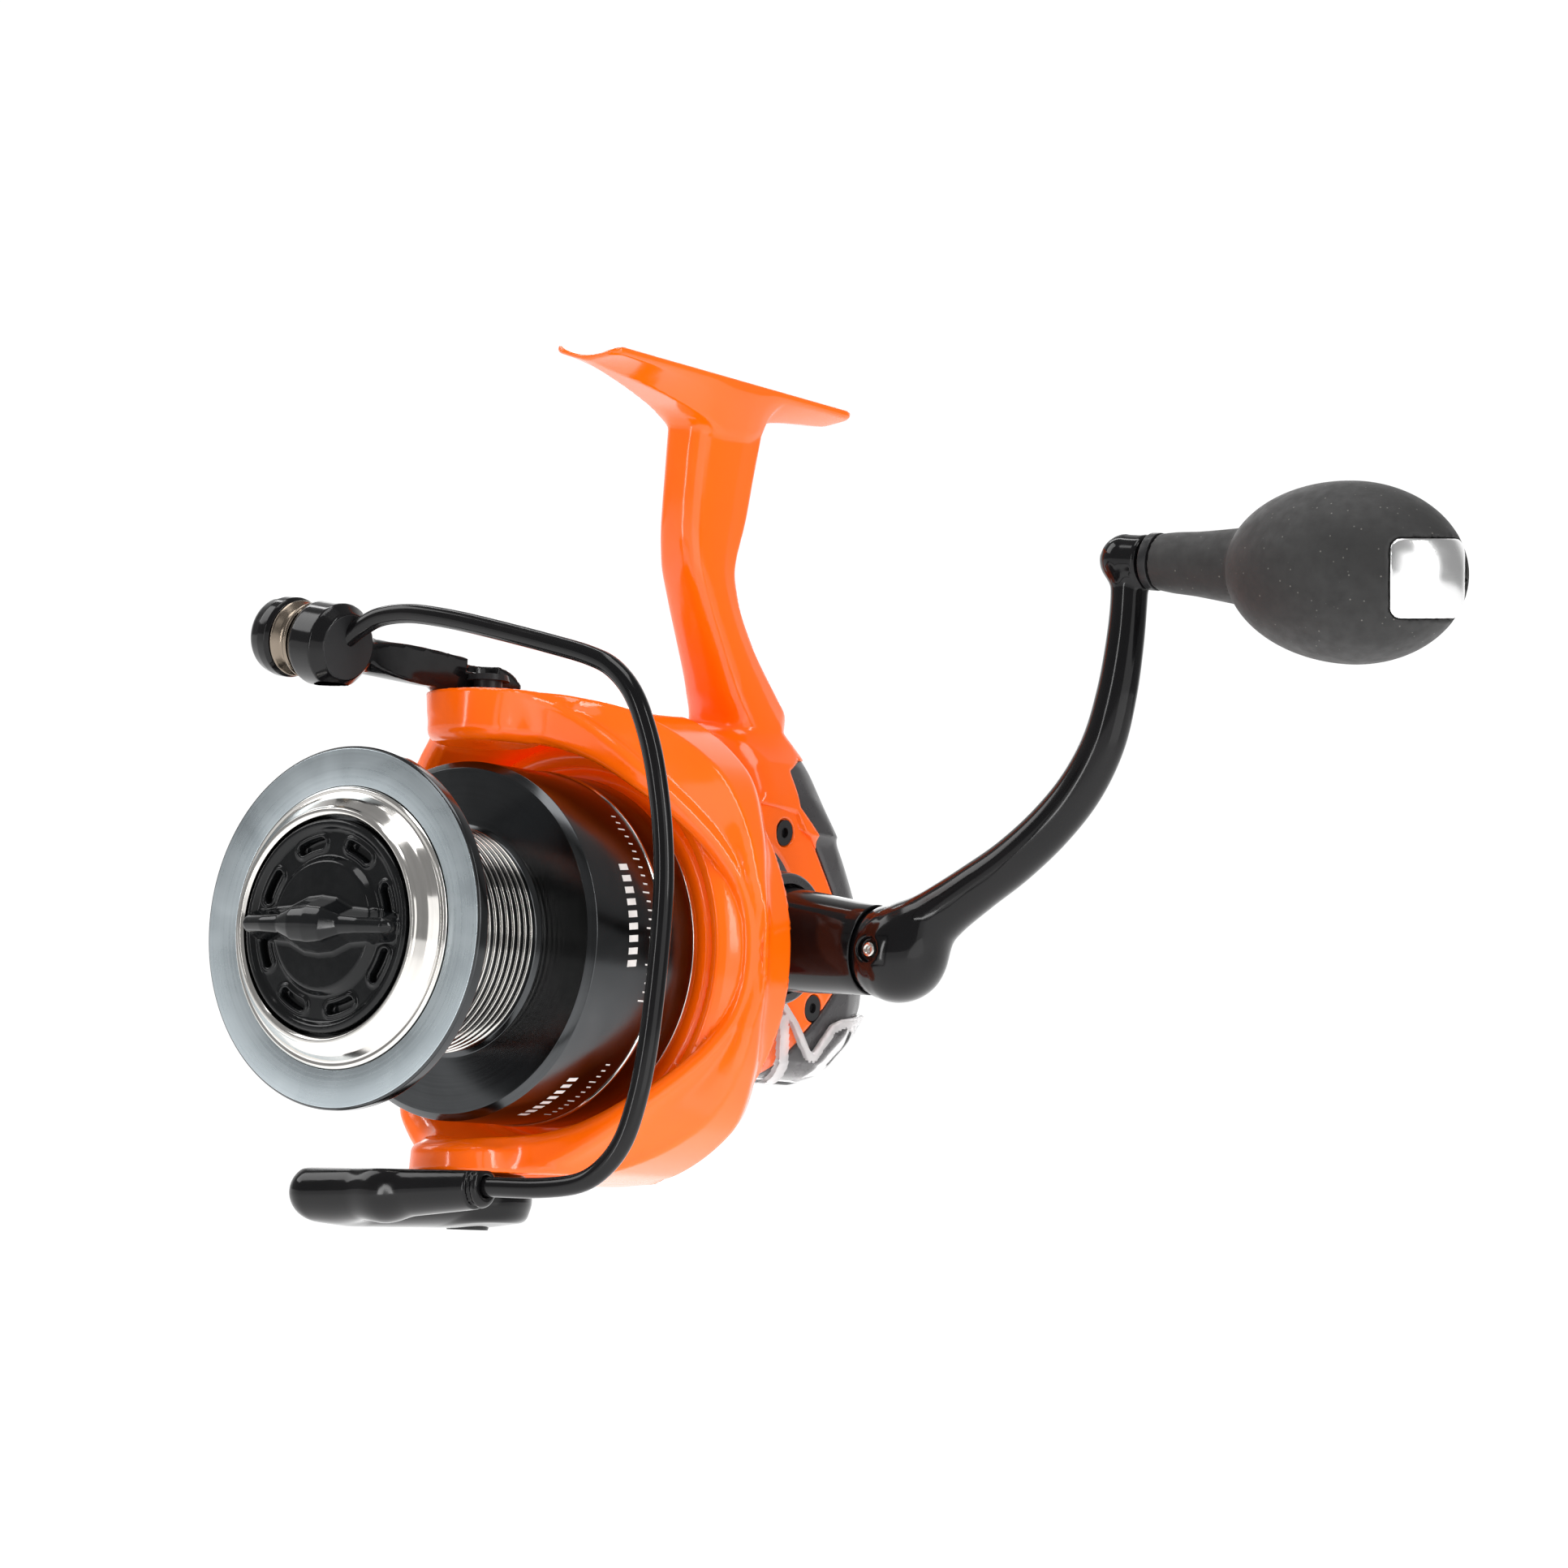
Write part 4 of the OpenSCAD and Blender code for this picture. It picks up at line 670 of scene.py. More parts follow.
def rotor_whole(p):
    """The rotor without its cover's recess."""
    x, y, z = p.T
    r = np.hypot(x, z)
    th = np.degrees(np.arctan2(z, x))
    off = np.abs(90 - np.abs(th))
    low = np.clip(-z / np.maximum(r, 1), 0, 1) ** 3
    ro = FLANGE_R(off) - 3.4 * low
    front = FRONT(off)
    slope = np.sqrt(1 + FRONT_SLOPE(off) ** 2)
    inner = 34.0 - 1.0 * low + 2.6 * np.clip(-x / 5, 0, 1) * np.clip((45 - off) / 20, 0, 1) * (z > 0)
    # front band: a rounded rim from the inner wall to the crease
    rb = np.minimum(BAND_R(off) - 2.4 * low, ro + 0.6)
    half = (rb - inner) / 2
    edge = 1.45
    du = np.abs(r - (inner + rb) / 2) - (half - edge)
    dv = (front - y) / slope + edge
    band = np.minimum(np.maximum(du, dv), 0) + np.hypot(np.maximum(du, 0), np.maximum(dv, 0)) - edge
    # flange behind the crease
    fy = FLANGE_Y(off)
    start = front + 2.2
    crease, back = np.maximum(fy, start - 0.6), FLANGE_BACK(off)
    flange = outline(r, y, [
        (inner, start), (rb - 1.2, start), (ro - 1.3, crease), (ro, crease + 1.3), (ro, back),
        (ro - 2.2, back + 3.6), (35.5, 67.4), (inner, 67.4),
    ]) - 0.35
    shell = smin(band, flange, 0.5 + 3.0 * low)
    shell = np.maximum(shell, y - 67.9)
    shell = smax(shell, r - ro - 0.35, 0.8)
    cup = [(31.6, 67.2), (31.6, 54.9), (32.6, 54.5), (33.6, 55.3), (34.6, 57), (34.6, 67.2)]
    f = smin(shell, outline(r, y, cup) - 0.6, 0.4)
    pad_up = drum(p, (0, PIVOT_Y, 0), (0, 0, 1), PAD_R, 32.25, 46, 2.2)
    pad_dn = drum(p, (0, PIVOT_Y, 0), (0, 0, -1), PAD_R, 32.8, 46, 1.2)
    f = smin(f, smin(pad_up, pad_dn, 0.1), 1.2)
    # flats that the bail swings over, with a step behind them
    f = smax(f, np.minimum(z - PAD_TOP, NOTCH_Y - y), 0.35)
    f = smax(f, np.minimum(-z - PAD_LOW, NOTCH_Y - y), 0.35)
    f = smax(f, np.abs(z) - 44, 0.3)
    # web and hub behind the spool
    web = outline(r, y, [
        (3.75, 58), (3.75, 52.1), (8, 52.1), (8.6, 55.1), (30, 55.1), (32.5, 58), (33.2, 60), (33.2, 66),
        (31, 67.6), (29.7, 67.6), (29.7, 58.4), (9.4, 58),
    ])
    return smin(f, web, 0.6)


def cover_zone(p, gap):
    x, y, z = p.T
    return np.maximum(np.maximum(np.abs(x) - 6.4 - gap, np.abs(y - 54.7) - 6.3 - gap), 40.3 - gap - z)


def rotor_solid(p):
    x, y, z = p.T
    f = smax(rotor_whole(p), -cover_zone(p, 0.1), 0.2)
    # blind holes for the two pivot screws, and the well round the upper one
    pin = np.hypot(x, y - PIVOT_Y) - 1.65
    for end in (33.6 - z, z + 34.1):
        f = np.maximum(f, -np.maximum(pin, end))
    well = np.maximum(np.hypot(x, y - PIVOT_Y) - 6.4, PAD_TOP - 4.4 - z)
    return np.maximum(f, -well)


def arm_cover_solid(p):
    return smax(rotor_whole(p), cover_zone(p, 0), 0.4)


def build_rotor():
    carve("rotor_body", rotor_solid, (-45, 22, -45), (45, 69, 45), 0.5, ORANGE, "rotor_head", "rotor", rot)
    carve("rotor_arm_cover", arm_cover_solid, (-8, 47, 38), (8, 63, 45), 0.25, SATIN_BLACK,
          "rotor_head", "arm_cover", rot)


# -------- bail
WIRE_R = 1.56
WIRE_TURN = math.radians(5)          # the wire's plane against the spool's front
WIRE_FROM = np.array((-8.0, 3.0, 0.0))
WIRE_ALONG = np.array((math.cos(WIRE_TURN), math.sin(WIRE_TURN), 0.0))
WIRE_NORMAL = (math.sin(WIRE_TURN), -math.cos(WIRE_TURN), 0.0)
BOSS = np.array((-3.4, 3.0, 44.6))
ROLL = np.array((-0.979, 0.07, 0.192)) / np.linalg.norm((-0.979, 0.07, 0.192))
ON_ROLLER = {"axis": ROLL, "origin": BOSS, "place": rot}
# (distance along the wire's plane, height) of its centre line
WIRE_ROWS = [
    (2.4, 45.0), (4.6, 46.6), (7, 48.0), (10, 49.2), (14, 49.6), (18.3, 49.3), (25.3, 48.0), (33.2, 46.1),
    (42.8, 43.6), (50.4, 41.4), (54.9, 39.2), (58.6, 35.3), (61.3, 29.6), (63.2, 23.3), (64.7, 15), (65.3, 7),
    (65.1, -1), (64.3, -11), (63.3, -19.2), (61.9, -26), (59.7, -32.2), (56.4, -36.3), (52, -38.8),
    (45, -39.7), (36, -39.7), (30, -39.7),
]


def on_wire(s, z):
    return WIRE_FROM + s * WIRE_ALONG + np.array((0, 0, z))


def flat_bar(p, a, b, wa, wb, ha, hb):
    """A tapered bar of oval section from a to b: half widths across it, half heights along z."""
    a, b = np.asarray(a, float), np.asarray(b, float)
    ab = (b - a)[:2]
    t = np.clip(((p[:, :2] - a[:2]) @ ab) / (ab @ ab), 0, 1)
    side = np.linalg.norm(p[:, :2] - a[:2] - t[:, None] * ab, axis=1)
    w, h = wa + (wb - wa) * t, ha + (hb - ha) * t
    rise = p[:, 2] - (a[2] + (b[2] - a[2]) * t)
    k = np.sqrt((side / w) ** 2 + (rise / h) ** 2)
    return (k - 1) * np.minimum(w, h)


def along_roll(p):
    q = p - BOSS
    s = q @ ROLL
    return s, np.linalg.norm(q - s[:, None] * ROLL, axis=1)


def lever_solid(p):
    x, y, z = p.T
    puck = drum(p, (0, PIVOT_Y, 0), (0, 0, 1), PAD_R - 0.15, PAD_TOP + 0.25, 43.0, 0.35)
    arm = flat_bar(p, (0.2, PIVOT_Y, 42.9), (-7.2, 7.5, 44.6), 9.1, 3.6, 2.9, 3.0)
    arm = smax(arm, PAD_TOP + 0.3 - z + np.maximum(0, (24 - y)) * -0.12, 0.6)
    f = smin(puck, arm, 1.0)
    s, r = along_roll(p)
    boss = outline(s, r, [(0.25, -1), (0.25, 5.1), (1.9, 6.55), (6.4, 6.55), (7.65, 5.8), (7.65, -1)]) - 0.25
    f = smin(f, boss, 0.8)
    stub = bar(p, on_wire(0.2, 43.6) + (0, 2.6, 0), on_wire(5.2, 46.9), 2.6, 2.2)
    f = smin(f, stub, 0.8)
    f = smax(f, s - 7.9, 0.2)
    f = smax(f, -s, 0.2)
    return np.maximum(f, -np.maximum(np.hypot(x, y - PIVOT_Y) - 3.75, 44.0 - z))


def holder_solid(p):
    y, z = p[:, 1], p[:, 2]
    base = flat_bar(p, (0.6, PIVOT_Y, -41.3), (-3.0, 9.5, -42.3), 9.6, 5.4, 4.6, 4.0)
    bend = on_wire(16, -40.7)
    tube = smin(bar(p, on_wire(2.4, -41.1), bend, 4.3), bar(p, bend, on_wire(33.0, -39.8), 4.3, 3.4), 2.5)
    f = smin(base, tube, 4.0)
    puck = drum(p, (0, PIVOT_Y, 0), (0, 0, -1), PAD_R - 0.1, PAD_LOW + 0.25, 44.8, 1.2)
    f = smin(f, puck, 1.5)
    f = smax(f, np.minimum(z + PAD_LOW + 0.25, 23.0 - y), 0.5)
    # mouth of the socket: a cut, a groove and a collar
    s = (p - WIRE_FROM) @ WIRE_ALONG
    rad = np.hypot((p - WIRE_FROM) @ np.array((-WIRE_ALONG[1], WIRE_ALONG[0], 0)), z + 39.7)
    f = smax(f, np.where(y < 22, s - 34.9, -9), 0.5)
    f = smax(f, -np.maximum(np.abs(s - 33.5) - 0.45, 2.75 - rad), 0.25)
    f = smax(f, -np.maximum(rad - 1.7, 30 - s), 0.2)
    return f


def build_bail():
    carve("bail_lever_arm", lever_solid, (-15, -7, 39), (12, 44, 54), 0.32, GLOSS_BLACK,
          "bail", "bail_lever", rot)
    face = [(0, 0.12), (5.15, 0.12), (5.15, -0.03, 0.1), (0, -0.03)]
    turn("boss_face", face, SATIN_BLACK, "bail", **ON_ROLLER, segments=96)
    carve("bail_wire_holder", holder_solid, (-13, -4, -49), (32, 45, -35), 0.32, GLOSS_BLACK,
          "bail", "bail_holder", rot)
    rows = through(WIRE_ROWS, 6)
    path = WIRE_FROM + rows[:, :1] * WIRE_ALONG + rows[:, 1:] * np.array((0, 0, 1.0))
    own(sweep("bail_wire_bar", path, WIRE_R, GLOSS_BLACK, WIRE_NORMAL, rot), "bail", "bail_wire")
    turn("roller_cap_dome", [
        (0, 16.3), (1.5, 16.3), (1.5, 12.3), (5.9, 12.3, 0.3), (6.45, 12.9, 0.35), (6.5, 14.4, 1.6),
        (6.1, 16.4, 2.5), (4.6, 18.1, 2.5), (2.2, 18.75, 2.5), (0, 18.8),
    ], GLOSS_BLACK, "bail", "roller_cap", **ON_ROLLER, segments=128, sharp=50)
    turn("line_roller_wheel", [
        (2.45, 8.3), (5.8, 8.3, 0.25), (6.15, 8.6, 0.2), (6.0, 9.0, 0.3), (5.0, 9.7, 0.8), (4.75, 10.2, 0.6),
        (5.0, 10.8, 0.8), (5.9, 11.5, 0.3), (6.15, 11.8, 0.2), (5.8, 12.0, 0.2), (2.45, 12.0),
    ], BRONZE, "roller", "line_roller", **ON_ROLLER, segments=128)


# -------- body
CASE_SIDE = [
    (64.4, -16.5), (66.5, -18.2), (112, -18.2), (118, -16.6), (124.5, -12.5), (129, -6.5), (130.6, 0),
    (129, 6), (124.5, 13.5), (118, 21), (111, 28), (103, 35), (97, 39), (86, 39), (84, 30), (80, 24.5),
    (72, 22.2), (64.4, 21),
]
CASE_FRONT = [
    (-16, -9), (-14.4, -13.5), (-11, -17), (-6, -18.4), (8, -18.4), (13, -17.4), (16, -14), (17, -9),
    (17, 24), (15.5, 31), (12, 36), (8, 39.2), (-7, 39.2), (-12, 36), (-15, 30), (-16, 22),
]
CASE_PLAN = [
    (-16, 74), (-14.5, 68), (-12, 64), (12, 64), (15.5, 68), (17, 74), (17, 106), (15.6, 115), (12, 123.5),
    (6, 129), (0, 131), (-6, 129), (-11, 123), (-14.5, 114), (-16, 104),
]
COVER_SIDE = [
    (67, -30), (92, -30), (92, -18.2), (97.6, -13), (105.6, -6), (110, -1.3), (111.4, 2.5), (110, 8),
    (105.4, 15.6), (100.6, 21), (96, 25.9), (93, 29.1), (60, 29.1), (67, 20),
]
REAR_SIDE = [
    (97, 38.4), (92.6, 35.6), (93.2, 29.2), (96.2, 26.0), (100.8, 21.1), (105.6, 15.7), (110.2, 8.1),
    (111.6, 2.5), (110.2, -1.4), (105.8, -6.1), (97.8, -13.1), (92.2, -18.4), (92.2, -30), (140, -30),
    (140, 38.4),
]
GUARD_SIDE = [
    (88.5, -30), (89.5, -8), (90.5, -1.5), (92, -2), (98.5, -7), (103.2, -11.6), (104.6, -12.2),
    (106.5, -9.6), (109, -7), (112.5, -5.9), (120, -5), (140, -4.6), (140, -30),
]
SCREW_SPOTS = ((90, 24.6), (73, -12), (104, -4.5))
COVER_X, WALL, SEAM = 13.0, 2.3, 0.07  # where the side cover starts, the case's wall, half a joint line
# How far the corner between the side and the back reaches at each height
CORNER = table([
    (-20, 70), (-17.8, 72.2), (-15.8, 75.8), (-12.2, 78.6), (-7.3, 81.8), (-2.7, 83.2), (4, 83), (10, 81.4),
    (15.4, 79.3), (23.1, 75.8), (30.6, 71.3), (37.8, 67.0), (42, 64),
])
STEM_FRONT = table([
    (24, 78), (30, 80.5), (36, 84), (41.7, 86.4), (47.1, 83.6), (53.6, 79.6), (61.4, 74.7), (67.8, 71.2),
    (74.6, 69.6), (84, 68.9), (93.1, 68.4), (98, 67.6),
])
STEM_REAR = table([
    (24, 118), (30, 112.5), (37.5, 107), (43, 101), (49, 95.2), (55.3, 89.2), (63, 83.9), (68.3, 82.2),
    (77, 83.5), (88, 84.2), (94.5, 84.6), (98, 85.4),
])
STEM_HALF = table([
    (24, 15), (30, 12.5), (36, 10), (42, 7.4), (48, 6.0), (54, 5.3), (62, 4.75), (70, 4.5), (80, 4.6),
    (90, 4.9), (98, 5.3),
])
FOOT_Y0, FOOT_Y1, FOOT_HALF, SEAT_R = 41.0, 107.3, 7.15, 14.0
FOOT_RIM = SEAT_Z + SEAT_R - math.sqrt(SEAT_R**2 - FOOT_HALF**2)
FOOT_LOW = table([
    (40, 97.0), (43, 96.7), (47, 96.1), (55, 94.9), (62, 93.6), (68, 92.2), (74, 91.0), (80, 91.2),
    (86, 93.6), (92, 94.9), (100, 95.9), (105, 96.4), (108, 97.0),
])
KEEL = table([
    (40, 0.3), (46, 1.0), (55, 2.5), (64, 4.0), (70, 4.8), (82, 4.4), (88, 2.5), (96, 1.6), (108, 1.2),
])


def corner_cut(p):
    return 0.793 * np.abs(p[:, 0]) + 0.597 * p[:, 1] - CORNER(p[:, 2])


def case_solid(p):
    x, y, z = p.T
    f = smax(outline(y, z, CASE_SIDE), outline(x, z, CASE_FRONT), 3.5)
    f = smax(f, outline(x, y, CASE_PLAN), 3.5)
    return smax(f, corner_cut(p), 1.5)


def stem_solid(p):
    x, y, z = p.T
    y0, y1, w = STEM_FRONT(z) - 0.4, STEM_REAR(z) + 0.4, STEM_HALF(z) * 1.1
    d = y1 - y0
    mid = y0 + 0.64 * d
    k = (np.abs(x / w) ** 3 + np.abs((mid - y) / (0.64 * d)) ** 3) ** (1 / 3)
    front = (k - 1) * w
    taper = 0.15 * w / (0.36 * d)
    rear = smax((np.abs(x) - w + taper * np.maximum(y - mid, 0)) / np.sqrt(1 + taper**2), y - y1, 0.5)
    f = np.where(y < mid, front, rear)
    f = smax(f * 0.93, corner_cut(p), 0.8)
    return np.maximum(np.maximum(f, z - 97), 26 - z)


def foot_solid(p):
    x, y, z = p.T
    low, keel = FOOT_LOW(y), KEEL(y)
    e = 0.4
    wing = FOOT_RIM - 1.25
    hull = outline(x, z, [
        (-FOOT_HALF + e, FOOT_RIM + 3), (-FOOT_HALF + e, wing), (-keel, low + e), (keel, low + e),
        (FOOT_HALF - e, wing), (FOOT_HALF - e, FOOT_RIM + 3),
    ]) - e
    ax, ay = np.abs(x), np.abs(y - (FOOT_Y0 + FOOT_Y1) / 2)
    corner = 2.6
    qx, qy = ax - (FOOT_HALF - corner), ay - ((FOOT_Y1 - FOOT_Y0) / 2 - corner)
    plan = np.minimum(np.maximum(qx, qy), 0) + np.hypot(np.maximum(qx, 0), np.maximum(qy, 0)) - corner
    f = smax(hull, plan, 0.9)
    seat = SEAT_R - np.hypot(x, z - SEAT_Z - SEAT_R)
    f = smax(f, seat, 0.6)
    return smax(f, z - FOOT_RIM, 0.35)


def region(p, pts, x0=None):
    f = outline(p[:, 1], p[:, 2], pts)
    return f if x0 is None else np.maximum(f, x0 - p[:, 0])


def collar_space(p):
    q = np.hypot(p[:, 1] - HANDLE_Y, p[:, 2] - HANDLE_Z)
    return np.minimum(np.maximum(q - 16.5, 15.85 - p[:, 0]), np.maximum(q - 10.05, 12 - p[:, 0]))


def cavity_solid(p):
    x, y, z = p.T
    inner = np.maximum(case_solid(p) + WALL, 69.2 - y)
    bore = np.maximum(np.hypot(x, z) - 8.1, y - 71)
    return np.minimum(inner, bore)


def housing_solid(p):
    x, y, z = p.T
    case = case_solid(p)
    cut = np.minimum(region(p, COVER_SIDE, COVER_X), region(p, REAR_SIDE))
    case = smax(case, -(cut - SEAM), 0.45)
    nose = drum(p, (0, 0, 0), (0, 1, 0), 21.4, 64.45, 74, 0.9)
    nose = smax(nose, np.minimum(COVER_X - x, 67 - y), 0.3)
    nose = smax(nose, y - 72, 0.2)
    f = smin(case, nose, 1.0)
    stem = smax(stem_solid(p), -(region(p, REAR_SIDE) - SEAM), 0.4)
    f = smin(f, stem, 4.5 * np.clip((60 - z) / 20, 0.05, 1))
    f = smin(f, foot_solid(p), 2.2)
    f = np.maximum(f, -cavity_solid(p))
    f = smax(f, -collar_space(p), 0.2)
    hole = np.hypot(y - HANDLE_Y, z - HANDLE_Z)
    return np.maximum(f, -np.maximum(hole - 7.1, np.abs(x) - 30))


def side_cover_solid(p):
    x, y, z = p.T
    case = case_solid(p)
    f = smax(case, region(p, COVER_SIDE, COVER_X) + SEAM, 0.45)
    f = smax(f, -collar_space(p), 0.35)
    for sy, sz in SCREW_SPOTS:
        q = np.hypot(y - sy, z - sz)
        f = smax(f, -np.maximum(q - 2.4, 14.7 - x), 0.3)
    return f


def rear_cover_solid(p):
    case = case_solid(p)
    f = smax(smin(case, stem_solid(p), 3.0), region(p, REAR_SIDE) + 0.09, 0.45)
    return np.maximum(f, -np.maximum(case + WALL, 60 - p[:, 1]))


def guard_solid(p):
    case = case_solid(p)
    shell = smax(case - 1.35, -(case - 0.15), 0.3)
    return smax(shell, region(p, GUARD_SIDE), 0.5)


def guard_edge_light_mask(p):
    """1 on the guard's thick edges and its front band, which get the pale painted highlight, 0 elsewhere."""
    edge = region(p, GUARD_SIDE) > -1.5
    band = np.abs(p[:, 1] - 94.3 - np.clip(-7.5 - p[:, 2], 0, 12) * 0.3) < 1.3
    tab = (np.abs(p[:, 1] - 111.5 - np.clip(-2 - p[:, 2], -9, 9) * 0.8) < 1.2) & (p[:, 2] > -8)
    return np.where(edge | (band & (p[:, 2] < -6)) | tab, 1, 0)


def build_body():
    carve("housing_shell", housing_solid, (-23, 40, -24), (23, 132, 102), 0.46, ORANGE,
          "housing", "body_housing")
    carve("side_cover_plate", side_cover_solid, (12, 65, -20), (18.5, 110, 32), 0.4, ORANGE,
          "housing", "side_cover")
    carve("rear_cover_shell", rear_cover_solid, (-18, 90, -20), (18.5, 133, 42), 0.5, HUB_GREY,
          "housing", "rear_cover")
    # the clear guard, with its thick edges, front band and tab painted pale as a painted highlight
    carve("rear_guard_shell", guard_solid, (-19, 87, -21), (20, 134, 6), 0.35, [SMOKE, GUARD_EDGE_LIGHT],
          "housing", "rear_guard", pick=guard_edge_light_mask)
    turn("handle_collar", [
        (7.1, 13.1), (9.9, 13.1), (9.9, 15.9), (16.25, 15.9), (16.25, 16.3, 0.3), (14.2, 16.6, 0.6),
        (12.6, 17.2, 1.2), (11.8, 18.8, 1.0), (11.4, 22, 2), (11.0, 26.2, 0.4), (10.6, 26.5, 0.2),
        (9.35, 26.5), (9.35, 21.1), (4.3, 21.1), (4.3, 17.2), (7.1, 17.2),
    ], HUB_GREY, "housing", "hub_collar", **ON_HANDLE, segments=160)
    turn("blind_cap", [
        (0, -14.3), (5.0, -14.3, 0.3), (5.0, -16.15), (7.75, -16.15, 0.3), (7.75, -19.2, 0.8),
        (7.1, -20.7, 0.8), (5.2, -21.3, 1.0), (2.2, -21.0, 0.8), (0, -20.9),
    ], GLOSS_BLACK, "housing", "handle_cap", **ON_HANDLE, segments=128)


# -------- handle
FOLD_X, BALL_R = 48.6, 7.8           # the crank's fold pin and its ball base
EGG_X, EGG_R = 126.0, 14.12          # the knob's widest place and its radius there
EGG_IN, EGG_OUT = 21.4, 18.6         # how far the egg reaches inwards and outwards from it
# centre line x, height above the handle's axis, half width, half thickness
CRANK = through([
    (49.8, 0, 6.4, 6.4), (53.0, 3.8, 5.6, 5.7), (57.6, 7.7, 4.6, 4.7), (63.4, 12.1, 4.15, 4.2),
    (69.8, 17.0, 3.95, 3.9), (76.0, 23.0, 3.85, 3.7), (81.0, 29.6, 3.75, 3.55), (84.3, 37, 3.55, 3.35),
    (85.7, 45, 3.3, 3.15), (86.1, 53, 3.1, 2.95), (85.9, 60, 3.0, 2.85), (85.2, 66.5, 3.2, 3.1),
], 24)


def crank_solid(p):
    x, y, z = p[:, 0], p[:, 1] - HANDLE_Y, p[:, 2] - HANDLE_Z
    arc = np.concatenate([[0], np.cumsum(np.hypot(*np.diff(CRANK[:, :2], axis=0).T))])
    s, best = np.zeros(len(p)), np.full(len(p), 1e9)
    for i in range(0, len(CRANK), 8):
        far = np.hypot(x - CRANK[i, 0], z - CRANK[i, 1])
        s = np.where(far < best, arc[i], s)
        best = np.minimum(best, far)
    row = lambda k: np.interp(s, arc, CRANK[:, k])
    for _ in range(3):
        cx, cz = row(0), row(1)
        ahead = np.interp(s + 0.5, arc, CRANK[:, 0]) - cx, np.interp(s + 0.5, arc, CRANK[:, 1]) - cz
        size = np.maximum(np.hypot(*ahead), 1e-6)
        s = np.clip(s + ((x - cx) * ahead[0] + (z - cz) * ahead[1]) / size, 0, arc[-1] - 0.5)
    wide, thick = row(2), row(3)
    arm = (np.sqrt((np.hypot(x - row(0), z - row(1)) / wide) ** 2 + (y / thick) ** 2) - 1) * thick
    ball = bar(p, (FOLD_X, HANDLE_Y, HANDLE_Z), (49.7, HANDLE_Y, HANDLE_Z - 0.1), BALL_R, BALL_R + 0.15)
    f = smin(ball, arm, 2.6)
    # room for the socket's rim all the way to the folded position
    for fold in (0.0, 15.0, 30.0):
        cos, sin = math.cos(math.radians(fold)), math.sin(math.radians(fold))
        along, up = (x - FOLD_X) * cos - z * sin, (x - FOLD_X) * sin + z * cos
        f = np.maximum(f, -np.maximum(along + 3.3, np.hypot(y, up) - BALL_R))
    f = np.minimum(f, ball)
    knob_end = np.linalg.norm(p - (84.5, HANDLE_Y, KNOB_Z), axis=1) - 4.25
    end = drum(p, (0, HANDLE_Y, KNOB_Z), (1, 0, 0), 4.2, 80, 88.6, 0.6)
    end = np.maximum(end, 84 - p[:, 0])
    f = smin(f, np.minimum(knob_end, end), 1.2)
    hole = np.hypot(x - FOLD_X, z)
    return smax(f, -np.maximum(hole - 2.0, 6.3 - np.abs(y)), 0.5)


def grip_shape(p):
    x = p[:, 0]
    r = np.hypot(p[:, 1] - HANDLE_Y, p[:, 2] - KNOB_Z)
    neck = outline(x, r, [
        (91.25, -1), (91.25, 4.5), (94, 4.85), (98, 5.1), (102, 5.55), (106.4, 6.1), (110, 6.5), (110, -1),
    ])
    u = x - EGG_X
    long = np.where(u < 0, EGG_IN, EGG_OUT)
    egg = (np.sqrt((u / long) ** 2 + (r / EGG_R) ** 2) - 1) * EGG_R
    return np.minimum(neck, smax(egg, 105.6 - x, 0.6))


def badge_area(p):
    """A rounded plate in the knob's end, facing forwards: u runs across it, w up it and d out of it."""
    q = p - (EGG_X, HANDLE_Y, KNOB_Z)
    u = q @ (0.870, 0.480, 0.110)
    w = q @ (-0.049, -0.138, 0.989)
    d = q @ (0.490, -0.866, -0.097)
    c = 1.7
    qu, qw = np.abs(u - 11.35) - (5.65 - c), np.abs(w + 0.9) - (6.1 - c)
    plate = np.minimum(np.maximum(qu, qw), 0) + np.hypot(np.maximum(qu, 0), np.maximum(qw, 0)) - c
    return np.maximum(plate, 0.2 * u - d)


def grip_solid(p):
    egg = grip_shape(p)
    r = np.hypot(p[:, 1] - HANDLE_Y, p[:, 2] - KNOB_Z)
    f = smax(egg, -np.maximum(badge_area(p) - 0.12, -(egg + 0.9)), 0.25)
    return np.maximum(f, -np.maximum(r - 3.45, p[:, 0] - 139.5))


def badge_solid(p):
    egg = grip_shape(p)
    return smax(smax(egg - 0.03, -(egg + 0.85), 0.2), badge_area(p), 0.35)


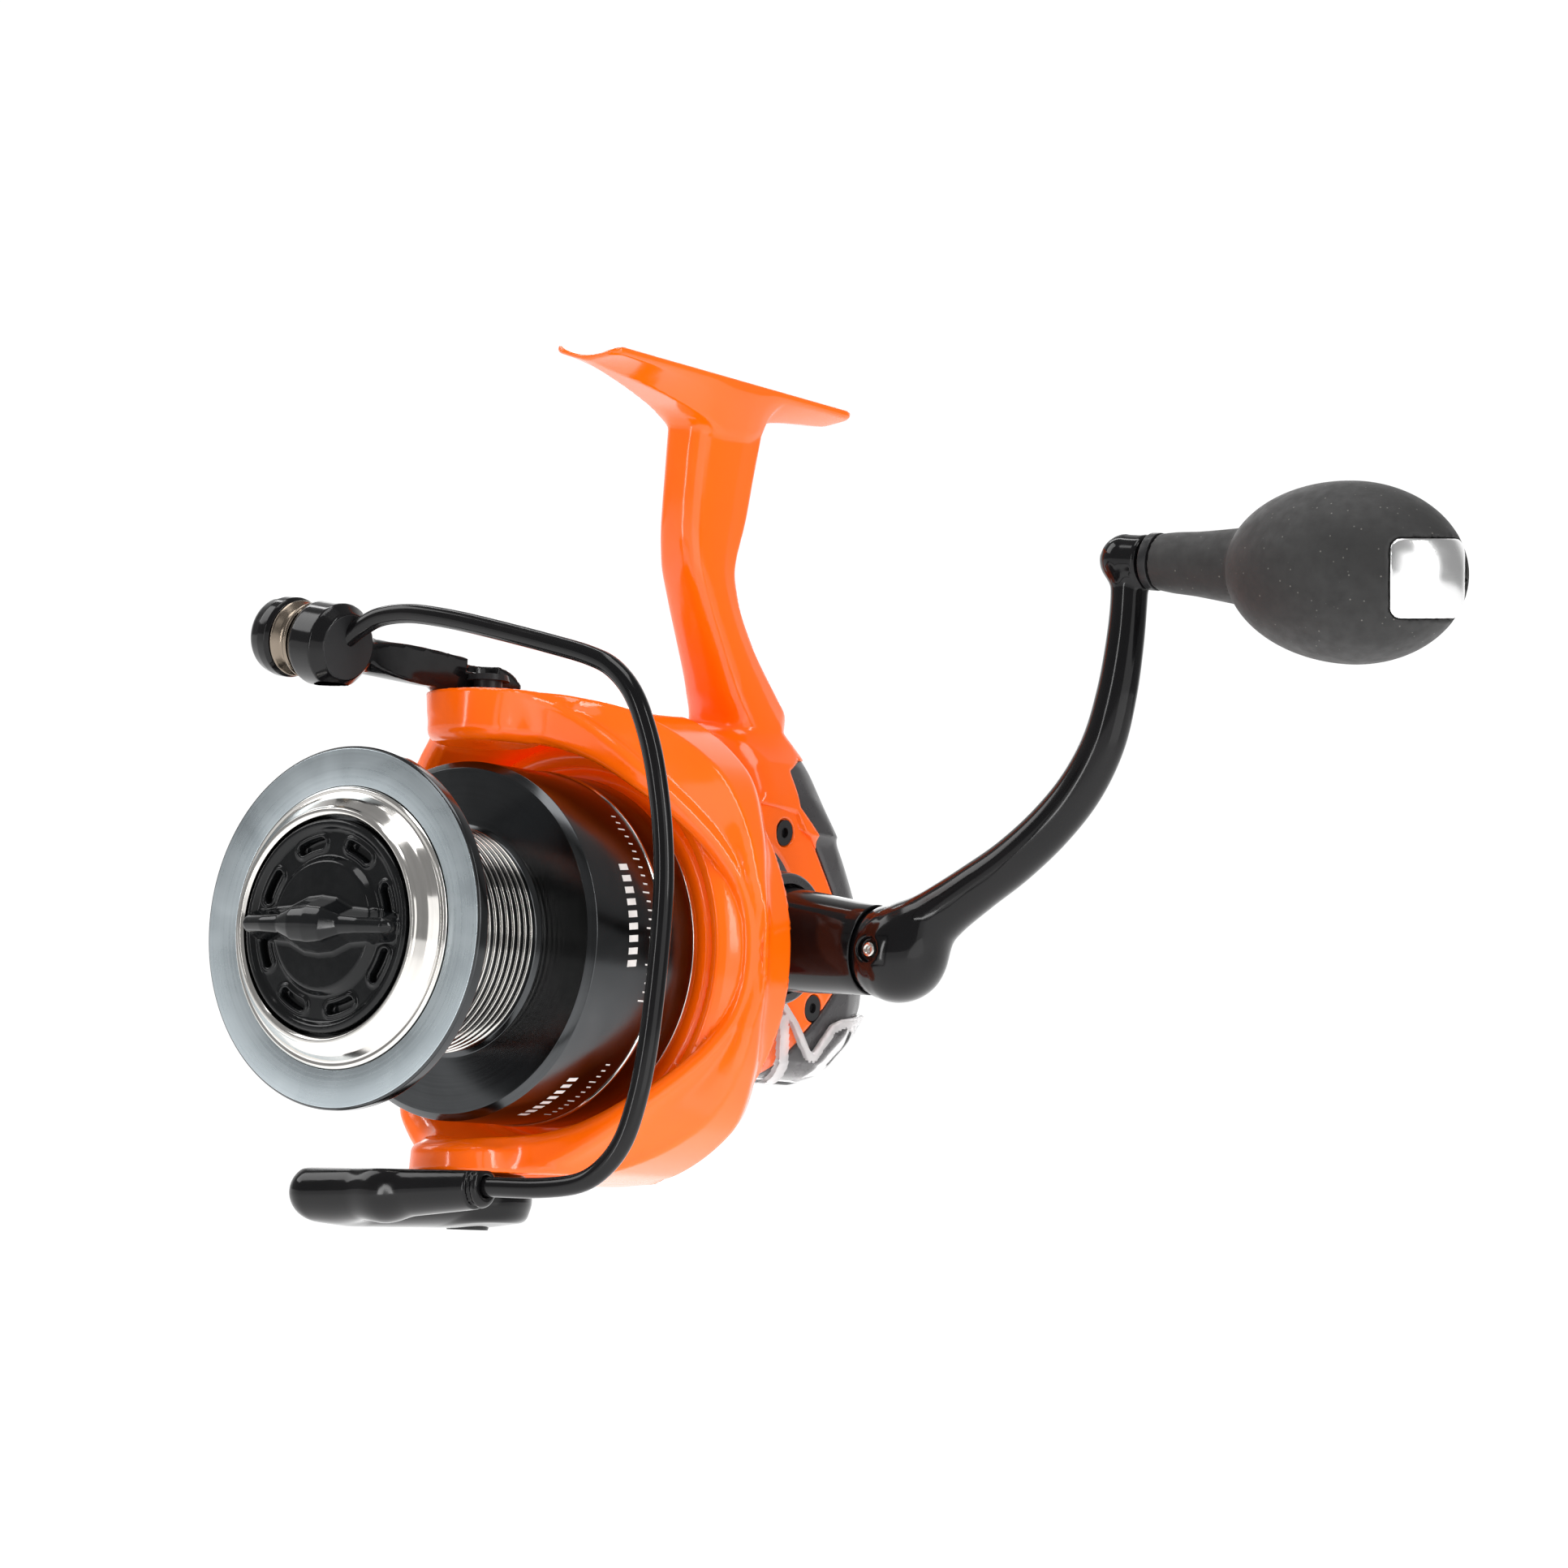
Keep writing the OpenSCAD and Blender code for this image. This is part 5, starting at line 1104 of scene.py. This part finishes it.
def build_handle():
    turn("handle_tube_body", [
        (0, 21.6), (8.0, 21.6, 0.4), (8.75, 22.6, 0.5), (8.8, 25.5, 2), (8.35, 33, 6), (7.65, 42.0, 4),
        (7.45, 44.9, 0.3), (6.9, 44.75, 0.2), (5.6, 42.6), (3.4, 41.1), (0, 40.5),
    ], GLOSS_BLACK, "drive", "handle_tube", **ON_HANDLE, segments=160)
    carve("crank_handle", crank_solid, (39, 70, -3), (92, 90, 79), 0.4, GLOSS_BLACK, "crank", "crank_arm")
    turn("fold_pin_rod", [
        (0, 73.5), (0.55, 73.5, 0.1), (0.6, 72.95, 0.1), (0.85, 72.75, 0.1), (1.18, 72.9, 0.15), (1.2, 73.4),
        (1.2, 86.6), (1.18, 87.1, 0.15), (0.85, 87.25, 0.1), (0.6, 87.05, 0.1), (0.55, 86.5, 0.1), (0, 86.5),
    ], STEEL, "crank", "fold_pin", axis="y", origin=(FOLD_X, 0, HANDLE_Z), segments=48)
    ring = [(2.1, 89.2), (4.25, 89.2, 0.15), (4.6, 89.5, 0.2), (4.6, 90.9, 0.15), (2.1, 90.9)]
    turn("knob_collar_ring", ring, SATIN_BLACK, "knob", "knob_collar",
         axis="x", origin=(0, HANDLE_Y, KNOB_Z), segments=96)
    carve("knob_grip_foam", grip_solid, (90, 64, KNOB_Z - 15.5), (148, 96, KNOB_Z + 15.5), 0.5, FOAM,
          "knob", "knob_grip")
    carve("knob_badge", badge_solid, (124, 66, KNOB_Z - 8), (148, 94, KNOB_Z + 8), 0.3, CHROME,
          "knob", "knob_plate")


# -------- camera, light, stage
def add_camera():
    az, el, roll = (math.radians(a) for a in (37.21, -1.99, 7.03))
    back = Vector((math.cos(el) * math.sin(az), -math.cos(el) * math.cos(az), math.sin(el)))
    right = Vector((math.cos(az), math.sin(az), 0.0))
    up = back.cross(right)
    r = right * math.cos(roll) + up * math.sin(roll)
    u = up * math.cos(roll) - right * math.sin(roll)
    cam = bpy.data.cameras.new("camera")
    cam.sensor_width, cam.lens = 36.0, 103.38
    cam.clip_start, cam.clip_end = 0.01, 50.0
    ob = bpy.data.objects.new("camera", cam)
    turn = Matrix((r, u, back)).transposed().to_4x4()
    ob.matrix_world = Matrix.Translation((0.47734, -0.59362, -0.09154)) @ turn
    bpy.context.scene.collection.objects.link(ob)
    bpy.context.scene.camera = ob


def softbox(name, where, size, power, size_y=None):
    """A square or, with size_y, an oblong area light aimed at the reel."""
    data = bpy.data.lights.new(name, "AREA")
    data.energy, data.size = power, size
    if size_y:
        data.shape, data.size_y = "RECTANGLE", size_y
    ob = bpy.data.objects.new(name, data)
    ob.location = Vector(where)
    aim = Vector((0.03, -0.02, -0.08)) - Vector(where)
    ob.rotation_euler = aim.to_track_quat("-Z", "Y").to_euler()
    bpy.context.scene.collection.objects.link(ob)


def add_light():
    softbox("key_left", (-0.85, -0.50, 0.60), 0.55, 4.4, size_y=0.7)
    softbox("strip_front", (-0.10, -1.15, -0.06), 0.09, 2.2, size_y=0.75)
    softbox("card_right", (1.25, -0.30, 0.05), 1.1, 4.4, size_y=1.1)
    softbox("strip_right", (0.95, -0.10, 0.45), 0.12, 3.0, size_y=0.8)
    softbox("top", (0.10, -0.25, 0.85), 0.5, 3.2)
    softbox("strip_top", (-0.45, 0.10, 0.80), 0.08, 1.8, size_y=0.9)
    softbox("rim_back", (-0.7, 0.75, 0.35), 0.5, 1.5)


def add_world():
    """A studio cove: white behind the object, greyer overhead and behind the camera."""
    world = bpy.data.worlds.new("studio")
    bpy.context.scene.world = world
    world.use_nodes = True
    nt = world.node_tree
    nt.nodes.clear()
    away = {1: (-0.604, 0.796, 0.035)}
    look = add_node(nt, "TexCoord").outputs["Generated"]
    dot = add_node(nt, "VectorMath", away, {0: look}, operation="DOT_PRODUCT")
    fade = {"From Min": 0.45, "From Max": 0.90, "To Min": 0.30, "To Max": 1.05}
    grey = add_node(nt, "MapRange", fade, {"Value": dot.outputs["Value"]}, interpolation_type="SMOOTHSTEP")
    background = add_node(nt, "Background", {"Strength": 1.0}, {"Color": grey.outputs["Result"]})
    add_node(nt, "OutputWorld", links={0: background.outputs[0]})


def add_stage():
    me = bpy.data.meshes.new("floor")
    bm = bmesh.new()
    bmesh.ops.create_grid(bm, x_segments=2, y_segments=2, size=8.0)
    bm.to_mesh(me)
    bm.free()
    ob = bpy.data.objects.new("floor", me)
    ob.location = (0, 0, -0.42)
    bpy.context.scene.collection.objects.link(ob)
    m, nt, b = shader("floor_white", (0.86, 0.86, 0.86), 0.85)
    nt.links.new(blend(nt, noise(nt, 3.0), (0.85, 0.85, 0.85), (0.88, 0.88, 0.88)), b.inputs["Base Color"])
    b.inputs["Emission Color"].default_value = (1, 1, 1, 1)
    b.inputs["Emission Strength"].default_value = 0.72
    me.materials.append(m)


# screws deep in their recesses: painted black as painted shade for the shadow in the recesses, in place of
# their slot's finish
SHADED_SCREWS = ("body_screws", "bail_screws")


def finish_nodes():
    """Gives the CAD nodes that stay in view the finish of their slot, and makes the screws deep in their
    recesses black as painted shade.
    """
    slot_of = {s["node"]: s["material_slot"] for s in frame["record"]["subparts"]}
    for name, ob in frame["nodes"].items():
        ob.data.materials.clear()
        ob.data.materials.append(SATIN_BLACK if name in SHADED_SCREWS else SLOT_LOOK[slot_of[name]])


build_spool()
build_drag_knob()
build_rotor()
build_bail()
build_body()
build_handle()
finish_nodes()
add_camera()
add_light()
add_world()
add_stage()
bpy.context.scene.view_settings.view_transform = "Standard"
